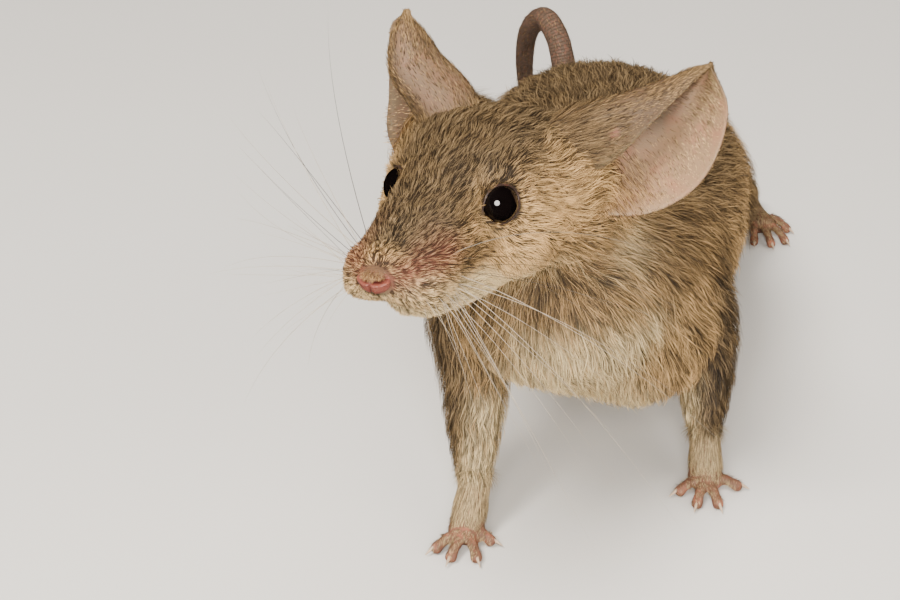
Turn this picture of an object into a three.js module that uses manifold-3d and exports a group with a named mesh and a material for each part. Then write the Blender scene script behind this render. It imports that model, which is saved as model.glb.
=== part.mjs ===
// A live house mouse standing on its four feet, life size, in millimetres.
// +Z is up, +X is its own left and -Y is forward.
// Each sub-part is a closed solid out to the tips of the coat, parted from its neighbours by a thin gap.
import * as THREE from "three";
import { mergeVertices } from "three/addons/utils/BufferGeometryUtils.js";
import Module from "manifold-3d";

const wasm = await Module();
wasm.setup();

// ---------------------------------------------------------------- driving sizes
const GAP = 0.3; // width of the cuts between sub-parts
const FLOOR = 0; // level that the soles and the tail rest on
const FAR = 300; // edge of the blocks that stand for a half space
const ACROSS = new THREE.Vector3(1, 0, 0);
const UP = new THREE.Vector3(0, 0, 1);
const side = { left: 1, right: -1 };

const HEAD_POSE = { at: [-8.15, -17.5, 37.9], yaw: -11.5 }; // midpoint of the eyes, and degrees about +Z
const EYE = { radius: 1.65, aside: 3.9 }; // eyeball, and its distance from the head's midline
const EAR = { thick: 0.9, flap: 1.3 }; // wall, and how far the folded front thickens it

const COLOURS = {
  coat: 0x7d6a52,
  cream: 0xcfc3a8,
  skin: 0xc99a86,
  eye: 0x0b0908,
  nose: 0xbf7c70,
  claw: 0xd9cbbb,
  tail: 0x8d705e,
};

// ---------------------------------------------------------------- surfaces
const vec = (p) => new THREE.Vector3(...p);

// A curve through points, evenly divided between them.
function smooth(points) {
  return new THREE.CatmullRomCurve3(points, false, "catmullrom", 0.5);
}

// How far each ring of a dome is towards its pole.
const ROUND = [0.95, 0.62];
const PLAIN = [0.8];

// A closed body of oval rings along a path of stations, each { at, wide, up, down } or { at, round }.
// At angle a a ring's point is side * wide * cos a + rise * (up or down) * sin a, and domes close the ends.
function loft(stations, options) {
  const { sides = 16, steps = 2, side = ACROSS, blunt = [0.7, 0.7], dome = ROUND, grow = 0 } = options;
  const path = smooth(stations.map((s) => vec(s.at)));
  const sizes = smooth(
    stations.map((s) => vec(s.round ? [s.round, s.round, s.round] : [s.wide, s.up, s.down])),
  );
  const count = (stations.length - 1) * steps;
  const rings = [];
  const addRing = (t, shift, scale) => {
    const along = path.getTangent(t);
    const across = side.clone().addScaledVector(along, -side.dot(along)).normalize();
    const rise = across.clone().cross(along);
    const size = sizes.getPoint(t).addScalar(grow);
    const centre = path.getPoint(t).addScaledVector(along, shift * Math.min(size.x, size.y, size.z));
    rings.push(
      Array.from({ length: sides }, (_, k) => {
        const a = (k / sides) * 2 * Math.PI;
        const tall = Math.sin(a) > 0 ? size.y : size.z;
        return centre
          .clone()
          .addScaledVector(across, size.x * scale * Math.cos(a))
          .addScaledVector(rise, tall * scale * Math.sin(a));
      }),
    );
  };
  for (const d of dome) addRing(0, -blunt[0] * d, Math.sqrt(1 - d * d));
  for (let i = 0; i <= count; i += 1) addRing(i / count, 0, 1);
  for (const d of [...dome].reverse()) addRing(1, blunt[1] * d, Math.sqrt(1 - d * d));
  return skinned(rings);
}

// Triangles over a list of rings, each with the same number of points, closed by a fan at both ends.
function skinned(rings) {
  const sides = rings[0].length;
  const points = rings.flat();
  const faces = [];
  for (let i = 0; i + 1 < rings.length; i += 1) {
    for (let k = 0; k < sides; k += 1) {
      const a = i * sides + k;
      const b = i * sides + ((k + 1) % sides);
      faces.push(a, a + sides, b, b, a + sides, b + sides);
    }
  }
  for (const [ring, turn] of [[0, 1], [rings.length - 1, -1]]) {
    const middle = points.length;
    points.push(rings[ring].reduce((sum, p) => sum.add(p), new THREE.Vector3()).divideScalar(sides));
    for (let k = 0; k < sides; k += 1) {
      const a = ring * sides + k;
      const b = ring * sides + ((k + 1) % sides);
      faces.push(...(turn > 0 ? [middle, a, b] : [middle, b, a]));
    }
  }
  return new THREE.BufferGeometry().setFromPoints(points).setIndex(faces);
}

// ---------------------------------------------------------------- solids
function solid(geometry) {
  const bare = geometry.clone();
  bare.deleteAttribute("normal");
  bare.deleteAttribute("uv");
  const merged = mergeVertices(bare, 1e-4);
  const mesh = new wasm.Mesh({
    numProp: 3,
    vertProperties: new Float32Array(merged.attributes.position.array),
    triVerts: new Uint32Array(merged.index.array),
  });
  return new wasm.Manifold(mesh);
}

const body = (stations, options) => solid(loft(stations, options));
const joined = (...solids) => solids.reduce((sum, s) => sum.add(s));
const without = (whole, ...others) => others.reduce((left, s) => left.subtract(s), whole);

// An oval ball about a centre.
function ball(centre, [x, y, z], detail = 10) {
  const geometry = new THREE.SphereGeometry(1, detail, Math.round(detail * 0.6));
  geometry.scale(x, y, z);
  geometry.translate(...centre);
  return geometry;
}

// Everything on the side of a plane that its normal points to.
function beyond(point, normal) {
  const block = new THREE.BoxGeometry(FAR, FAR, FAR).translate(0, 0, FAR / 2);
  const turn = new THREE.Quaternion().setFromUnitVectors(UP, vec(normal).normalize());
  block.applyQuaternion(turn);
  return solid(block.translate(...point));
}

const FLOOR_CUT = beyond([0, 0, FLOOR], [0, 0, 1]);
const onFloor = (s) => s.intersect(FLOOR_CUT);

// Parts a solid by planes { at, along } in order, leaving GAP at each of them.
function parted(whole, planes) {
  const pieces = [];
  for (let i = 0; i <= planes.length; i += 1) {
    let piece = whole;
    if (i > 0) piece = piece.intersect(beyondBy(planes[i - 1], 1));
    if (i < planes.length) piece = piece.intersect(beyondBy(planes[i], -1));
    pieces.push(piece);
  }
  return pieces;
}

function beyondBy({ at, along }, way) {
  const normal = vec(along).normalize().multiplyScalar(way);
  return beyond(vec(at).addScaledVector(normal, GAP / 2).toArray(), normal.toArray());
}

// ---------------------------------------------------------------- trunk and neck
const TRUNK = [
  { at: [-2.4, -7.0, 24.0], wide: 8.8, up: 7.5, down: 8.6 },
  { at: [-0.6, 0.5, 23.4], wide: 12.2, up: 11.2, down: 12.6 },
  { at: [0.4, 10, 21.6], wide: 13.4, up: 12.6, down: 13.0 },
  { at: [0, 22, 19.4], wide: 14.8, up: 13.4, down: 13.4 },
  { at: [-1.6, 35, 17.6], wide: 15.8, up: 12.8, down: 12.6 },
  { at: [-4.0, 46, 16.6], wide: 14.6, up: 11.0, down: 11.4 },
  { at: [-6.4, 54, 16.8], wide: 10.6, up: 8.0, down: 8.4 },
  { at: [-8.2, 59, 17.6], wide: 4.8, up: 4.2, down: 4.4 },
];
const BREAST = { at: [4.8, 1.5, 18.1], size: [8.6, 7.5, 8.5] };
const NECK = [
  { at: [-7.6, -12.0, 36.0], wide: 8.0, up: 5.4, down: 6.6 },
  { at: [-5.8, -6.0, 34.0], wide: 9.5, up: 6.6, down: 8.2 },
  { at: [-2.8, 1.5, 29.6], wide: 10.2, up: 6.8, down: 8.4 },
  { at: [-0.2, 9, 25.6], wide: 10.6, up: 7.0, down: 7.0 },
];

const TRUNK_CUTS = [
  { at: [0, 17, 20], along: [0, 1, 0] },
  { at: [-1.4, 38, 17], along: [-0.1, 1, 0] },
];

// The trunk with the fullness of the breast.
function torso(grow = 0) {
  const breast = solid(ball(BREAST.at, BREAST.size.map((r) => r + grow), 14));
  return joined(body(TRUNK, { sides: 18, grow }), breast);
}

// ---------------------------------------------------------------- head
// In its own frame: the eyes at y 0, the nose forward.
const SKULL = [
  { at: [0, -12.2, -1.3], wide: 2.2, up: 1.9, down: 1.8 },
  { at: [0, -9.8, -1.7], wide: 3.3, up: 2.8, down: 2.9 },
  { at: [0, -5.6, -1.5], wide: 4.0, up: 3.8, down: 4.4 },
  { at: [0, -2.6, -1.3], wide: 4.3, up: 4.6, down: 5.1 },
  { at: [0, 0.6, -1.1], wide: 5.3, up: 5.4, down: 5.8 },
  { at: [0, 4.8, -0.8], wide: 7.1, up: 5.7, down: 6.4 },
  { at: [0, 9.4, -0.8], wide: 8.2, up: 4.9, down: 6.8 },
  { at: [0, 13.4, -1.8], wide: 7.2, up: 4.1, down: 5.6 },
];
const HEAD_FORM = { sides: 16, blunt: [0.8, 0.6] };
const WHISKER_PAD = { at: [2.0, -9.0, -2.6], size: [2.3, 3.4, 2.5] };
const CHEEK = { at: [3.6, 4.8, -3.4], size: [4.1, 6.0, 4.6] };
const JAW = [
  { at: [0, -8.4, -5.2], wide: 1.3, up: 1.0, down: 1.0 },
  { at: [0, -5.2, -6.0], wide: 2.6, up: 1.8, down: 1.7 },
  { at: [0, 0, -6.4], wide: 4.0, up: 2.6, down: 2.4 },
  { at: [0, 5, -6.2], wide: 4.8, up: 3.0, down: 2.8 },
];
const NOSE = { at: [0, -13.25, -1.2], size: [1.25, 0.95, 0.95] };
const NAPE = { at: [0, 11.2, 0], along: [0, 1, -0.12] }; // where the head is parted from the neck

const HEAD_MATRIX = new THREE.Matrix4()
  .makeRotationZ(THREE.MathUtils.degToRad(HEAD_POSE.yaw))
  .setPosition(...HEAD_POSE.at);
const inHead = (geometry) => solid(geometry.applyMatrix4(HEAD_MATRIX));
const fromHead = (p) => vec(p).applyMatrix4(HEAD_MATRIX).toArray();

// The head without its jaw, nose and ears: the skull's form with whisker pads and cheeks.
function skull(grow = 0) {
  const lump = (way, { at, size }) => inHead(ball([at[0] * way, at[1], at[2]], size.map((r) => r + grow)));
  const lumps = Object.values(side).flatMap((way) => [WHISKER_PAD, CHEEK].map((form) => lump(way, form)));
  return joined(inHead(loft(SKULL, { ...HEAD_FORM, grow })), ...lumps);
}

function eyeball(way, grow = 0) {
  const r = EYE.radius + grow;
  return inHead(ball([EYE.aside * way, 0, 0], [r, r, r], 14));
}

// ---------------------------------------------------------------- ears
// Where each ear leaves the head, the way it points and the way its hollow faces. Its margins run from root
// to tip in its own frame: aside (backward), up its axis and out to its open side. The front folds over at
// the crest, and depth is how far the hollow sinks between crest and rear.
const EARS = {
  left: {
    root: [6.9, 9.2, -0.6],
    axis: [0.683, 0.375, 0.627],
    mouth: [0.385, -0.914, 0.127],
    turn: 1,
    crest: {
      aside: [-4.6, -3.7, -2.4, -1.4, -0.9, -0.3],
      up: [-0.5, 3.4, 7.0, 9.8, 12.0, 13.6],
      open: [0, 0, 0, 0, 0, 0],
    },
    rear: {
      aside: [3.0, 6.0, 6.8, 5.8, 3.2, -0.3],
      up: [-1.6, 2.3, 6.2, 9.6, 12.7, 13.6],
      open: [0.3, 0.9, 1.1, 1.0, 0.5, 0],
    },
    depth: [2.4, 3.1, 2.8, 2.2, 1.3, 0.1],
  },
  right: {
    root: [-3.3, 9.6, -1.9],
    axis: [-0.3, -0.03, 0.96],
    mouth: [-0.92, -0.38, 0],
    turn: -1,
    crest: {
      aside: [-3.6, -3.7, -3.2, -2.8, -1.9, 0],
      up: [-1.0, 3.0, 6.2, 9.6, 12.2, 13.6],
      open: [1.2, 0.7, 0.8, 2.0, 1.6, 0.6],
    },
    rear: {
      aside: [2.6, 4.4, 4.4, 3.8, 2.4, 0],
      up: [-1.2, 2.9, 6.6, 9.8, 12.4, 13.6],
      open: [4.6, 5.6, 4.4, 3.3, 2.3, 0.6],
    },
    depth: [5.0, 5.4, 4.3, 3.1, 1.6, 0.1],
  },
};
const EAR_TIP = 0.97; // how far along its margins the last ring lies
const EAR_FOLD = 0.36; // share of the way from crest to rear that the folded front takes
const EAR_SPAN = [0.03, 0.97]; // share of that way at which the wall's two faces meet
const EAR_LEAN = 0.8; // below 1 the hollow is deepest nearer the crest
const NUDGE = 0.02; // step along a surface to measure the way it faces

// The ear's middle surface at height u and share t from crest to rear: the line between them, sunk as a
// half sine.
function earMiddle({ root, axis, mouth, turn, crest, rear, depth }, u, t) {
  const up = vec(axis).normalize();
  const open = vec(mouth).addScaledVector(up, -vec(mouth).dot(up)).normalize();
  const across = up.clone().cross(open).multiplyScalar(turn);
  const margin = (rail) => smooth(rail.aside.map((x, i) => vec([x, rail.up[i], rail.open[i]]))).getPoint(u);
  const sunk = smooth(depth.map((d) => vec([d, 0, 0]))).getPoint(u).x * Math.sin(Math.PI * t ** EAR_LEAN);
  const at = margin(crest).lerp(margin(rear), t);
  return vec(root)
    .addScaledVector(across, at.x)
    .addScaledVector(up, at.y)
    .addScaledVector(open, at.z - sunk);
}

// A point of the ear's back (way -1) or of its hollow (way 1), half a wall from the middle surface.
function earPoint(form, u, t, way) {
  const along = earMiddle(form, u + NUDGE, t).sub(earMiddle(form, Math.max(u - NUDGE, 0), t));
  const aside = earMiddle(form, u, t + NUDGE).sub(earMiddle(form, u, t - NUDGE));
  const normal = along.cross(aside).normalize().multiplyScalar(-way * form.turn);
  const folded = way > 0 ? EAR.flap * Math.max(1 - t / EAR_FOLD, 0) * (1 - u) : 0;
  return earMiddle(form, u, t).addScaledVector(normal, EAR.thick / 2 + folded);
}

function ear(s) {
  const rows = 7;
  const columns = 7;
  const [from, to] = EAR_SPAN;
  const shares = Array.from({ length: columns + 1 }, (_, k) => from + ((to - from) * k) / columns);
  const rings = Array.from({ length: rows + 1 }, (_, i) => {
    const u = (EAR_TIP * i) / rows;
    const back = shares.map((t) => earPoint(EARS[s], u, t, -1));
    const hollow = shares.map((t) => earPoint(EARS[s], u, t, 1));
    const ring = [...back, ...hollow.reverse()];
    return EARS[s].turn > 0 ? ring : ring.reverse();
  });
  return inHead(skinned(rings));
}

// ---------------------------------------------------------------- legs
// Digits are headings in degrees from straight ahead, towards the animal's left, from the inner digit
// outwards, and reach is their lengths.
const ARM = {
  left: {
    shoulder: [8.2, 3, 24],
    elbow: [11.5, 8.5, 13.6],
    wrist: [12.6, 4.6, 4.2],
    palm: [13.0, 2.4, 0.9],
    digits: [-50, -8, 24, 92],
    reach: [2.1, 2.8, 2.7, 2.2],
  },
  right: {
    shoulder: [-9.3, -3.5, 23.5],
    elbow: [-9.2, -1.5, 13.4],
    wrist: [-7.9, -8.0, 4.4],
    palm: [-8.1, -10.7, 0.9],
    digits: [80, 27, -11, -42],
    reach: [1.5, 2.6, 2.7, 2.5],
  },
};
const LEG = {
  left: {
    hip: [6.6, 44.5, 17.6],
    knee: [12.6, 50.5, 9.4],
    heel: [14.3, 68.6, 3.4],
    ball: [16.6, 62.4, 1.05],
    heading: 16,
  },
  right: {
    hip: [-12.4, 43.5, 18],
    knee: [-16.6, 42.5, 9.6],
    heel: [-16.2, 59.5, 3.4],
    ball: [-17.4, 52, 1.05],
    heading: -10,
  },
};

const between = (a, b, t) => vec(a).lerp(vec(b), t).toArray();
const shifted = (p, x, y, z) => [p[0] + x, p[1] + y, p[2] + z];

// An arm in one piece, from the shoulder to the wrist.
function arm(s, grow = 0) {
  const { shoulder, elbow, wrist } = ARM[s];
  const upper = [
    { at: shoulder, wide: 4.8, up: 5.6, down: 5.4 },
    { at: between(shoulder, elbow, 0.55), wide: 4.6, up: 5.2, down: 4.8 },
    { at: elbow, wide: 3.6, up: 3.5, down: 3.4 },
  ];
  const lower = [
    { at: elbow, wide: 3.8, up: 3.4, down: 3.3 },
    { at: between(elbow, wrist, 0.45), wide: 3.1, up: 2.7, down: 2.5 },
    { at: wrist, wide: 1.75, up: 1.5, down: 1.5 },
  ];
  return joined(body(upper, { sides: 10, grow }), body(lower, { sides: 10, grow, dome: PLAIN }));
}

// The upper arm and the forearm, parted where the elbow bends.
function armPieces(s) {
  const { shoulder, elbow, wrist } = ARM[s];
  const along = vec(elbow).sub(vec(shoulder)).normalize().add(vec(wrist).sub(vec(elbow)).normalize());
  return parted(arm(s), [{ at: elbow, along: along.toArray() }]);
}

const FORE_ROOT = 0.9; // how far a forefoot's digits start from the palm's middle
// Where each digit's root lies across and behind the ball of the hind foot, its turn from the foot's heading
// in degrees, and its length.
const HIND_DIGITS = [
  { across: -1.6, behind: 2.6, turn: -26, long: 2.8 },
  { across: -1.1, behind: 0, turn: -12, long: 3.9 },
  { across: 0, behind: -0.3, turn: 2, long: 4.2 },
  { across: 1.1, behind: 0, turn: 16, long: 3.9 },
  { across: 1.7, behind: 2.2, turn: 34, long: 3.0 },
];
// Radii, and the heights of root and tip.
const DIGIT = { root: 0.76, waist: 0.58, pad: 0.7, rise: 1.0, tip: 0.5 };
const CLAW = { long: 1.35, root: 0.34, tip: 0.12, high: 0.78, low: 0.34 };

const headed = (angle) => {
  const a = THREE.MathUtils.degToRad(angle);
  return vec([Math.sin(a), -Math.cos(a), 0]);
};

function digitLine(root, angle, long) {
  const direction = headed(angle);
  return { root: vec(root).setZ(DIGIT.rise), direction, tip: vec(root).addScaledVector(direction, long) };
}

function foreDigits(s) {
  const { palm: middle, digits, reach } = ARM[s];
  return digits.map((angle, i) => {
    const root = vec(middle).addScaledVector(headed(angle), FORE_ROOT);
    return digitLine(root.toArray(), angle, reach[i]);
  });
}

function hindDigits(s) {
  const { ball, heading } = LEG[s];
  const ahead = headed(heading);
  const outwards = headed(heading + 90 * side[s]);
  return HIND_DIGITS.map(({ across, behind, turn, long }) => {
    const root = vec(ball).addScaledVector(outwards, across).addScaledVector(ahead, -behind);
    return digitLine(root.toArray(), heading + turn * side[s], long);
  });
}

function digit({ root, tip }) {
  const level = (t, z) => [...between(root.toArray(), tip.toArray(), t).slice(0, 2), z];
  return body(
    [
      { at: level(0, DIGIT.rise), round: DIGIT.root },
      { at: level(0.6, DIGIT.rise - 0.05), round: DIGIT.waist },
      { at: level(1, DIGIT.tip), round: DIGIT.pad },
    ],
    { sides: 6, steps: 1, side: UP, dome: [] },
  );
}

// A claw: a small horn that leaves the upper end of the digit and bends down to just above the floor.
function claw({ tip, direction }) {
  const at = (forward, z) => [tip.x + direction.x * forward, tip.y + direction.y * forward, z];
  return body(
    [
      { at: at(GAP, CLAW.high), round: CLAW.root },
      { at: at(GAP + CLAW.long * 0.5, CLAW.high - 0.04), round: CLAW.root * 0.8 },
      { at: at(GAP + CLAW.long, CLAW.low), round: CLAW.tip },
    ],
    { sides: 6, steps: 1, side: UP, dome: [] },
  );
}

// A foot of a palm or sole and its digits, cut flat at the floor.
const foot = (base, lines) => onFloor(joined(base, ...lines.map(digit)));

// A palm slopes down from the wrist, then lies level up to the roots of the digits.
function palm(s) {
  const { wrist, palm: middle } = ARM[s];
  const [x, y] = between(wrist, middle, 1.35);
  return body(
    [
      { at: wrist, wide: 1.6, up: 1.35, down: 1.35 },
      { at: between(wrist, middle, 0.6), wide: 1.8, up: 1.25, down: 1.25 },
      { at: middle, wide: 2.0, up: 1.2, down: 1.25 },
      { at: [x, y, middle[2]], wide: 1.7, up: 0.9, down: 1.2 },
    ],
    { sides: 10, dome: PLAIN },
  );
}

function sole(s) {
  const { heel, ball } = LEG[s];
  return body(
    [
      { at: shifted(heel, 0, 0.6, -1.9), wide: 1.5, up: 1.7, down: 1.6 },
      { at: between(shifted(heel, 0, 0, -2.1), ball, 0.5), wide: 1.7, up: 1.5, down: 1.4 },
      { at: ball, wide: 2.3, up: 1.3, down: 1.3 },
    ],
    { sides: 10, dome: PLAIN },
  );
}

function thigh(s, grow = 0) {
  const { hip, knee } = LEG[s];
  return body(
    [
      { at: shifted(hip, 0, 1, 0), wide: 6.0, up: 8.6, down: 8.0 },
      { at: between(hip, knee, 0.6), wide: 5.0, up: 7.6, down: 7.2 },
      { at: knee, wide: 3.1, up: 5.2, down: 4.6 },
    ],
    { sides: 10, grow },
  );
}

function shank(s, grow = 0) {
  const { knee, heel } = LEG[s];
  return body(
    [
      { at: shifted(knee, 0.2, 0.5, -1.6), wide: 3.0, up: 4.0, down: 3.2 },
      { at: between(shifted(knee, 0, 0, -2.4), heel, 0.5), wide: 2.5, up: 3.0, down: 2.2 },
      { at: heel, wide: 1.5, up: 1.5, down: 1.4 },
    ],
    { sides: 10, grow },
  );
}

// ---------------------------------------------------------------- tail
const TAIL = { root: 1.75, tip: 0.55 }; // radii
const TAIL_PATH = [
  [-7.6, 56.5, 18.0],
  [-9.6, 58.8, 21.4],
  [-11.0, 60.2, 25.4],
  [-13.2, 62.4, 27.2],
  [-15.8, 66.4, 23.6],
  [-17.0, 72.5, 15.6],
  [-16.6, 79, 7.6],
  [-17.4, 85, 2.0],
  [-20.6, 89.4, 0.9],
  [-26, 90.4, 0.7],
  [-31, 86.8, 0.6],
  [-34.4, 81, 0.5],
];
const TAIL_SIDE = new THREE.Vector3(0.3, 0.2, 1);
const TAIL_LENGTHS = 4;
const TAIL_STEPS = 8; // rings along each length

// Radius along the tail, falling evenly from root to tip.
const tailRadius = (t) => TAIL.root + (TAIL.tip - TAIL.root) * t ** 0.9;

function tailLength(index) {
  const curve = smooth(TAIL_PATH.map(vec));
  const cut = index ? (GAP * 1.2) / curve.getLength() : 0;
  const stations = Array.from({ length: TAIL_STEPS + 1 }, (_, k) => {
    const t = (index + k / TAIL_STEPS) / TAIL_LENGTHS;
    const u = Math.min(1, Math.max(t, index / TAIL_LENGTHS + cut));
    return { at: curve.getPointAt(u).toArray(), round: tailRadius(u) };
  });
  return body(stations, { sides: 8, steps: 1, side: TAIL_SIDE, dome: [] });
}

// ---------------------------------------------------------------- the whole animal
const model = new THREE.Group();

function place(name, piece, colour, roughness = 0.85) {
  const { vertProperties, triVerts, numProp } = piece.getMesh();
  const geometry = new THREE.BufferGeometry();
  const count = vertProperties.length / numProp;
  const position = new Float32Array(count * 3);
  for (let i = 0; i < count; i += 1) {
    position.set(vertProperties.subarray(i * numProp, i * numProp + 3), i * 3);
  }
  geometry.setAttribute("position", new THREE.BufferAttribute(position, 3));
  geometry.setIndex(new THREE.BufferAttribute(new Uint32Array(triVerts), 1));
  geometry.computeVertexNormals();
  const material = new THREE.MeshStandardMaterial({ color: colour, roughness, metalness: 0 });
  const mesh = new THREE.Mesh(geometry, material);
  mesh.name = name;
  model.add(mesh);
}

function build() {
  const sides = Object.keys(side);
  const limbGaps = sides.flatMap((s) => [arm, thigh, shank].map((limb) => limb(s, GAP)));
  const trunk = torso();
  const trunkGap = torso(GAP);
  const neckGap = body(NECK, { sides: 14, grow: GAP });
  const jaw = (grow) => inHead(loft(JAW, { sides: 12, grow }));
  const nose = (grow) => inHead(ball(NOSE.at, NOSE.size.map((r) => r + grow)));
  const nape = { at: fromHead(NAPE.at), along: vec(fromHead(NAPE.along)).sub(vec(HEAD_POSE.at)).toArray() };
  const [head, neck] = parted(joined(skull(), body(NECK, { sides: 14 })), [nape]);
  const [chest, abdomen, rump] = parted(trunk, TRUNK_CUTS);
  const sockets = [eyeball(1, GAP), eyeball(-1, GAP)];
  place("head", without(head, trunkGap, jaw(GAP), nose(GAP), ...sockets), COLOURS.coat);
  place("nose", nose(0), COLOURS.nose, 0.5);
  place("lower_jaw", without(jaw(0), trunkGap, neckGap), COLOURS.cream);
  place("neck", without(neck, trunkGap, jaw(GAP), ...limbGaps), COLOURS.coat);
  place("chest", without(chest, ...limbGaps), COLOURS.coat);
  place("abdomen", without(abdomen, ...limbGaps), COLOURS.coat);
  place("rump", without(rump, ...limbGaps, tailRootGap()), COLOURS.coat);
  for (const s of sides) placePairOf(s, [skull(GAP), neckGap]);
  for (let i = 0; i < TAIL_LENGTHS; i += 1) place(`tail_${i + 1}`, onFloor(tailLength(i)), COLOURS.tail);
}

// The eye, ear and legs of one side.
function placePairOf(s, headGaps) {
  place(`eye_${s}`, eyeball(side[s]), COLOURS.eye, 0.1);
  place(`ear_${s}`, without(ear(s), ...headGaps), COLOURS.skin);
  const [upperArm, forearm] = armPieces(s);
  place(`upper_arm_${s}`, upperArm, COLOURS.coat);
  place(`forearm_${s}`, forearm, COLOURS.coat);
  place(`forefoot_${s}`, without(foot(palm(s), foreDigits(s)), arm(s, GAP)), COLOURS.skin);
  place(`thigh_${s}`, thigh(s), COLOURS.coat);
  place(`shank_${s}`, without(onFloor(shank(s)), thigh(s, GAP)), COLOURS.cream);
  place(`hindfoot_${s}`, without(foot(sole(s), hindDigits(s)), shank(s, GAP)), COLOURS.skin);
  foreDigits(s).forEach((line, i) => place(`claw_fore_${s}_${i + 2}`, claw(line), COLOURS.claw, 0.4));
  hindDigits(s).forEach((line, i) => place(`claw_hind_${s}_${i + 1}`, claw(line), COLOURS.claw, 0.4));
}

// The hollow in the rump that the tail's root sits in.
function tailRootGap() {
  return body(
    TAIL_PATH.slice(0, 3).map((at) => ({ at, round: TAIL.root + GAP })),
    { sides: 8, side: TAIL_SIDE, dome: PLAIN },
  );
}

build();

const box = new THREE.Box3().setFromObject(model);
const middle = box.getCenter(new THREE.Vector3());
model.position.set(-middle.x, -middle.y, -FLOOR);
const part = new THREE.Group();
part.add(model);

export default part;
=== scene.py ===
"""Dresses a life-size grey mouse: skin, nose, eyes, claws, a coat of fine tufts and whiskers.

Shapes are worked out in millimetres in the animal's own frame: +X its left, -Y forward, +Z up, the floor at 0.
"""

import functools

import bpy
import numpy as np
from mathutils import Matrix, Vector


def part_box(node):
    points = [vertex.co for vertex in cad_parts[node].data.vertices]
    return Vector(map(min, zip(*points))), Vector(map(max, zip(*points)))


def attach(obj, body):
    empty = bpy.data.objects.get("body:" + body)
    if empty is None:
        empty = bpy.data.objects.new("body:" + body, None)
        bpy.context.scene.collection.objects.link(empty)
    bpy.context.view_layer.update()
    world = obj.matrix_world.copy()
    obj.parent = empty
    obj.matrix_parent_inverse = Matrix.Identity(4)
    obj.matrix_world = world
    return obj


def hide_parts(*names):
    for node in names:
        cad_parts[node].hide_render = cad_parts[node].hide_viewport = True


bl_info = {
    "name": "Grey Mouse",
    "version": (1, 0, 0),
    "blender": (4, 5, 0),
    "location": "3D View > Sidebar > Mouse",
    "description": "Dresses a standing grey mouse in skin, coat, claws, eyes and whiskers",
    "category": "Add Mesh",
}

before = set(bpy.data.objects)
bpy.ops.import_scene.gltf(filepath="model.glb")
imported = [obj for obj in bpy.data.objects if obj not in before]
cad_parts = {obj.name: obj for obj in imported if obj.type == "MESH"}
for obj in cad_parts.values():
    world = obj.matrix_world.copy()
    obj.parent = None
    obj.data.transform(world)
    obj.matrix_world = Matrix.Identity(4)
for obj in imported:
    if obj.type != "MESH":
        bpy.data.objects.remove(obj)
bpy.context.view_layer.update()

SIDES = {"left": 1, "right": -1}
MM = 0.001
SEED = 7
FRINGE_SEED, WHISKER_SEED = SEED + 50, SEED + 80


# ---------------------------------------------------------------- the animal's sizes
HEAD_AT = np.array([-8.15, -17.5, 37.9])  # midpoint of the eyes
HEAD_YAW = -11.5  # degrees about +Z
EYE_RADIUS = 1.65
EYE_ASIDE = 3.9
EYE_AXIS = np.array([0.72, -0.61, 0.26])  # the way the left eye looks, in the head's frame

# Each row of a form: x, y, z, half width, reach up, reach down, depth of the coat, length of its hair.
TRUNK = np.array(
    [
        (-2.4, -7.0, 24.0, 8.8, 7.5, 8.6, 1.2, 3.8),
        (-0.6, 0.5, 23.4, 12.2, 11.2, 12.6, 1.4, 4.4),
        (0.4, 10.0, 21.6, 13.4, 12.6, 13.0, 1.5, 4.9),
        (0.0, 22.0, 19.4, 14.8, 13.4, 13.4, 1.6, 5.3),
        (-1.6, 35.0, 17.6, 15.8, 12.8, 12.6, 1.7, 5.5),
        (-4.0, 46.0, 16.6, 14.6, 11.0, 11.4, 1.7, 5.4),
        (-6.4, 54.0, 16.8, 10.6, 8.0, 8.4, 1.5, 4.8),
        (-8.2, 59.0, 17.6, 4.8, 4.2, 4.4, 1.0, 3.0),
    ]
)
NECK = np.array(
    [
        (-7.6, -12.0, 36.0, 8.0, 5.4, 6.6, 1.0, 3.4),
        (-5.8, -6.0, 34.0, 9.5, 6.6, 8.2, 1.2, 3.8),
        (-2.8, 1.5, 29.6, 10.2, 6.8, 8.4, 1.3, 4.2),
        (-0.2, 9.0, 25.6, 10.6, 7.0, 7.0, 1.4, 4.6),
    ]
)
# The head's forms are in its own frame: the eyes at y 0, the nose forward.
SKULL = np.array(
    [
        (0, -12.2, -1.3, 2.2, 1.9, 1.8, 0.18, 0.55),
        (0, -9.8, -1.7, 3.3, 2.8, 2.9, 0.3, 0.8),
        (0, -5.6, -1.5, 4.0, 3.8, 4.4, 0.45, 1.4),
        (0, -2.6, -1.3, 4.3, 4.6, 5.1, 0.5, 1.8),
        (0, 0.6, -1.1, 5.3, 5.4, 5.8, 0.6, 2.2),
        (0, 4.8, -0.8, 7.1, 5.6, 6.4, 0.75, 2.8),
        (0, 9.4, -0.8, 8.2, 4.8, 6.8, 0.9, 3.3),
        (0, 13.4, -1.8, 7.2, 4.0, 5.6, 1.0, 3.7),
    ]
)
JAW = np.array(
    [
        (0, -8.4, -5.2, 1.3, 1.0, 1.0, 0.2, 1.0),
        (0, -5.2, -6.0, 2.6, 1.8, 1.7, 0.3, 1.4),
        (0, 0.0, -6.4, 4.0, 2.6, 2.4, 0.5, 2.0),
        (0, 5.0, -6.2, 4.8, 3.0, 2.8, 0.7, 2.6),
    ]
)
WHISKER_PAD = {"at": (2.0, -9.0, -2.6), "size": (2.3, 3.4, 2.5), "coat": 0.25}
CHEEK = {"at": (3.6, 4.8, -3.4), "size": (4.1, 6.0, 4.6), "coat": 0.7}
BREAST = {"at": (4.8, 1.5, 18.1), "size": (8.6, 7.5, 8.5), "coat": 1.4}
NOSE = {"at": (0, -13.25, -1.2), "size": (1.22, 0.9, 0.9)}
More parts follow.
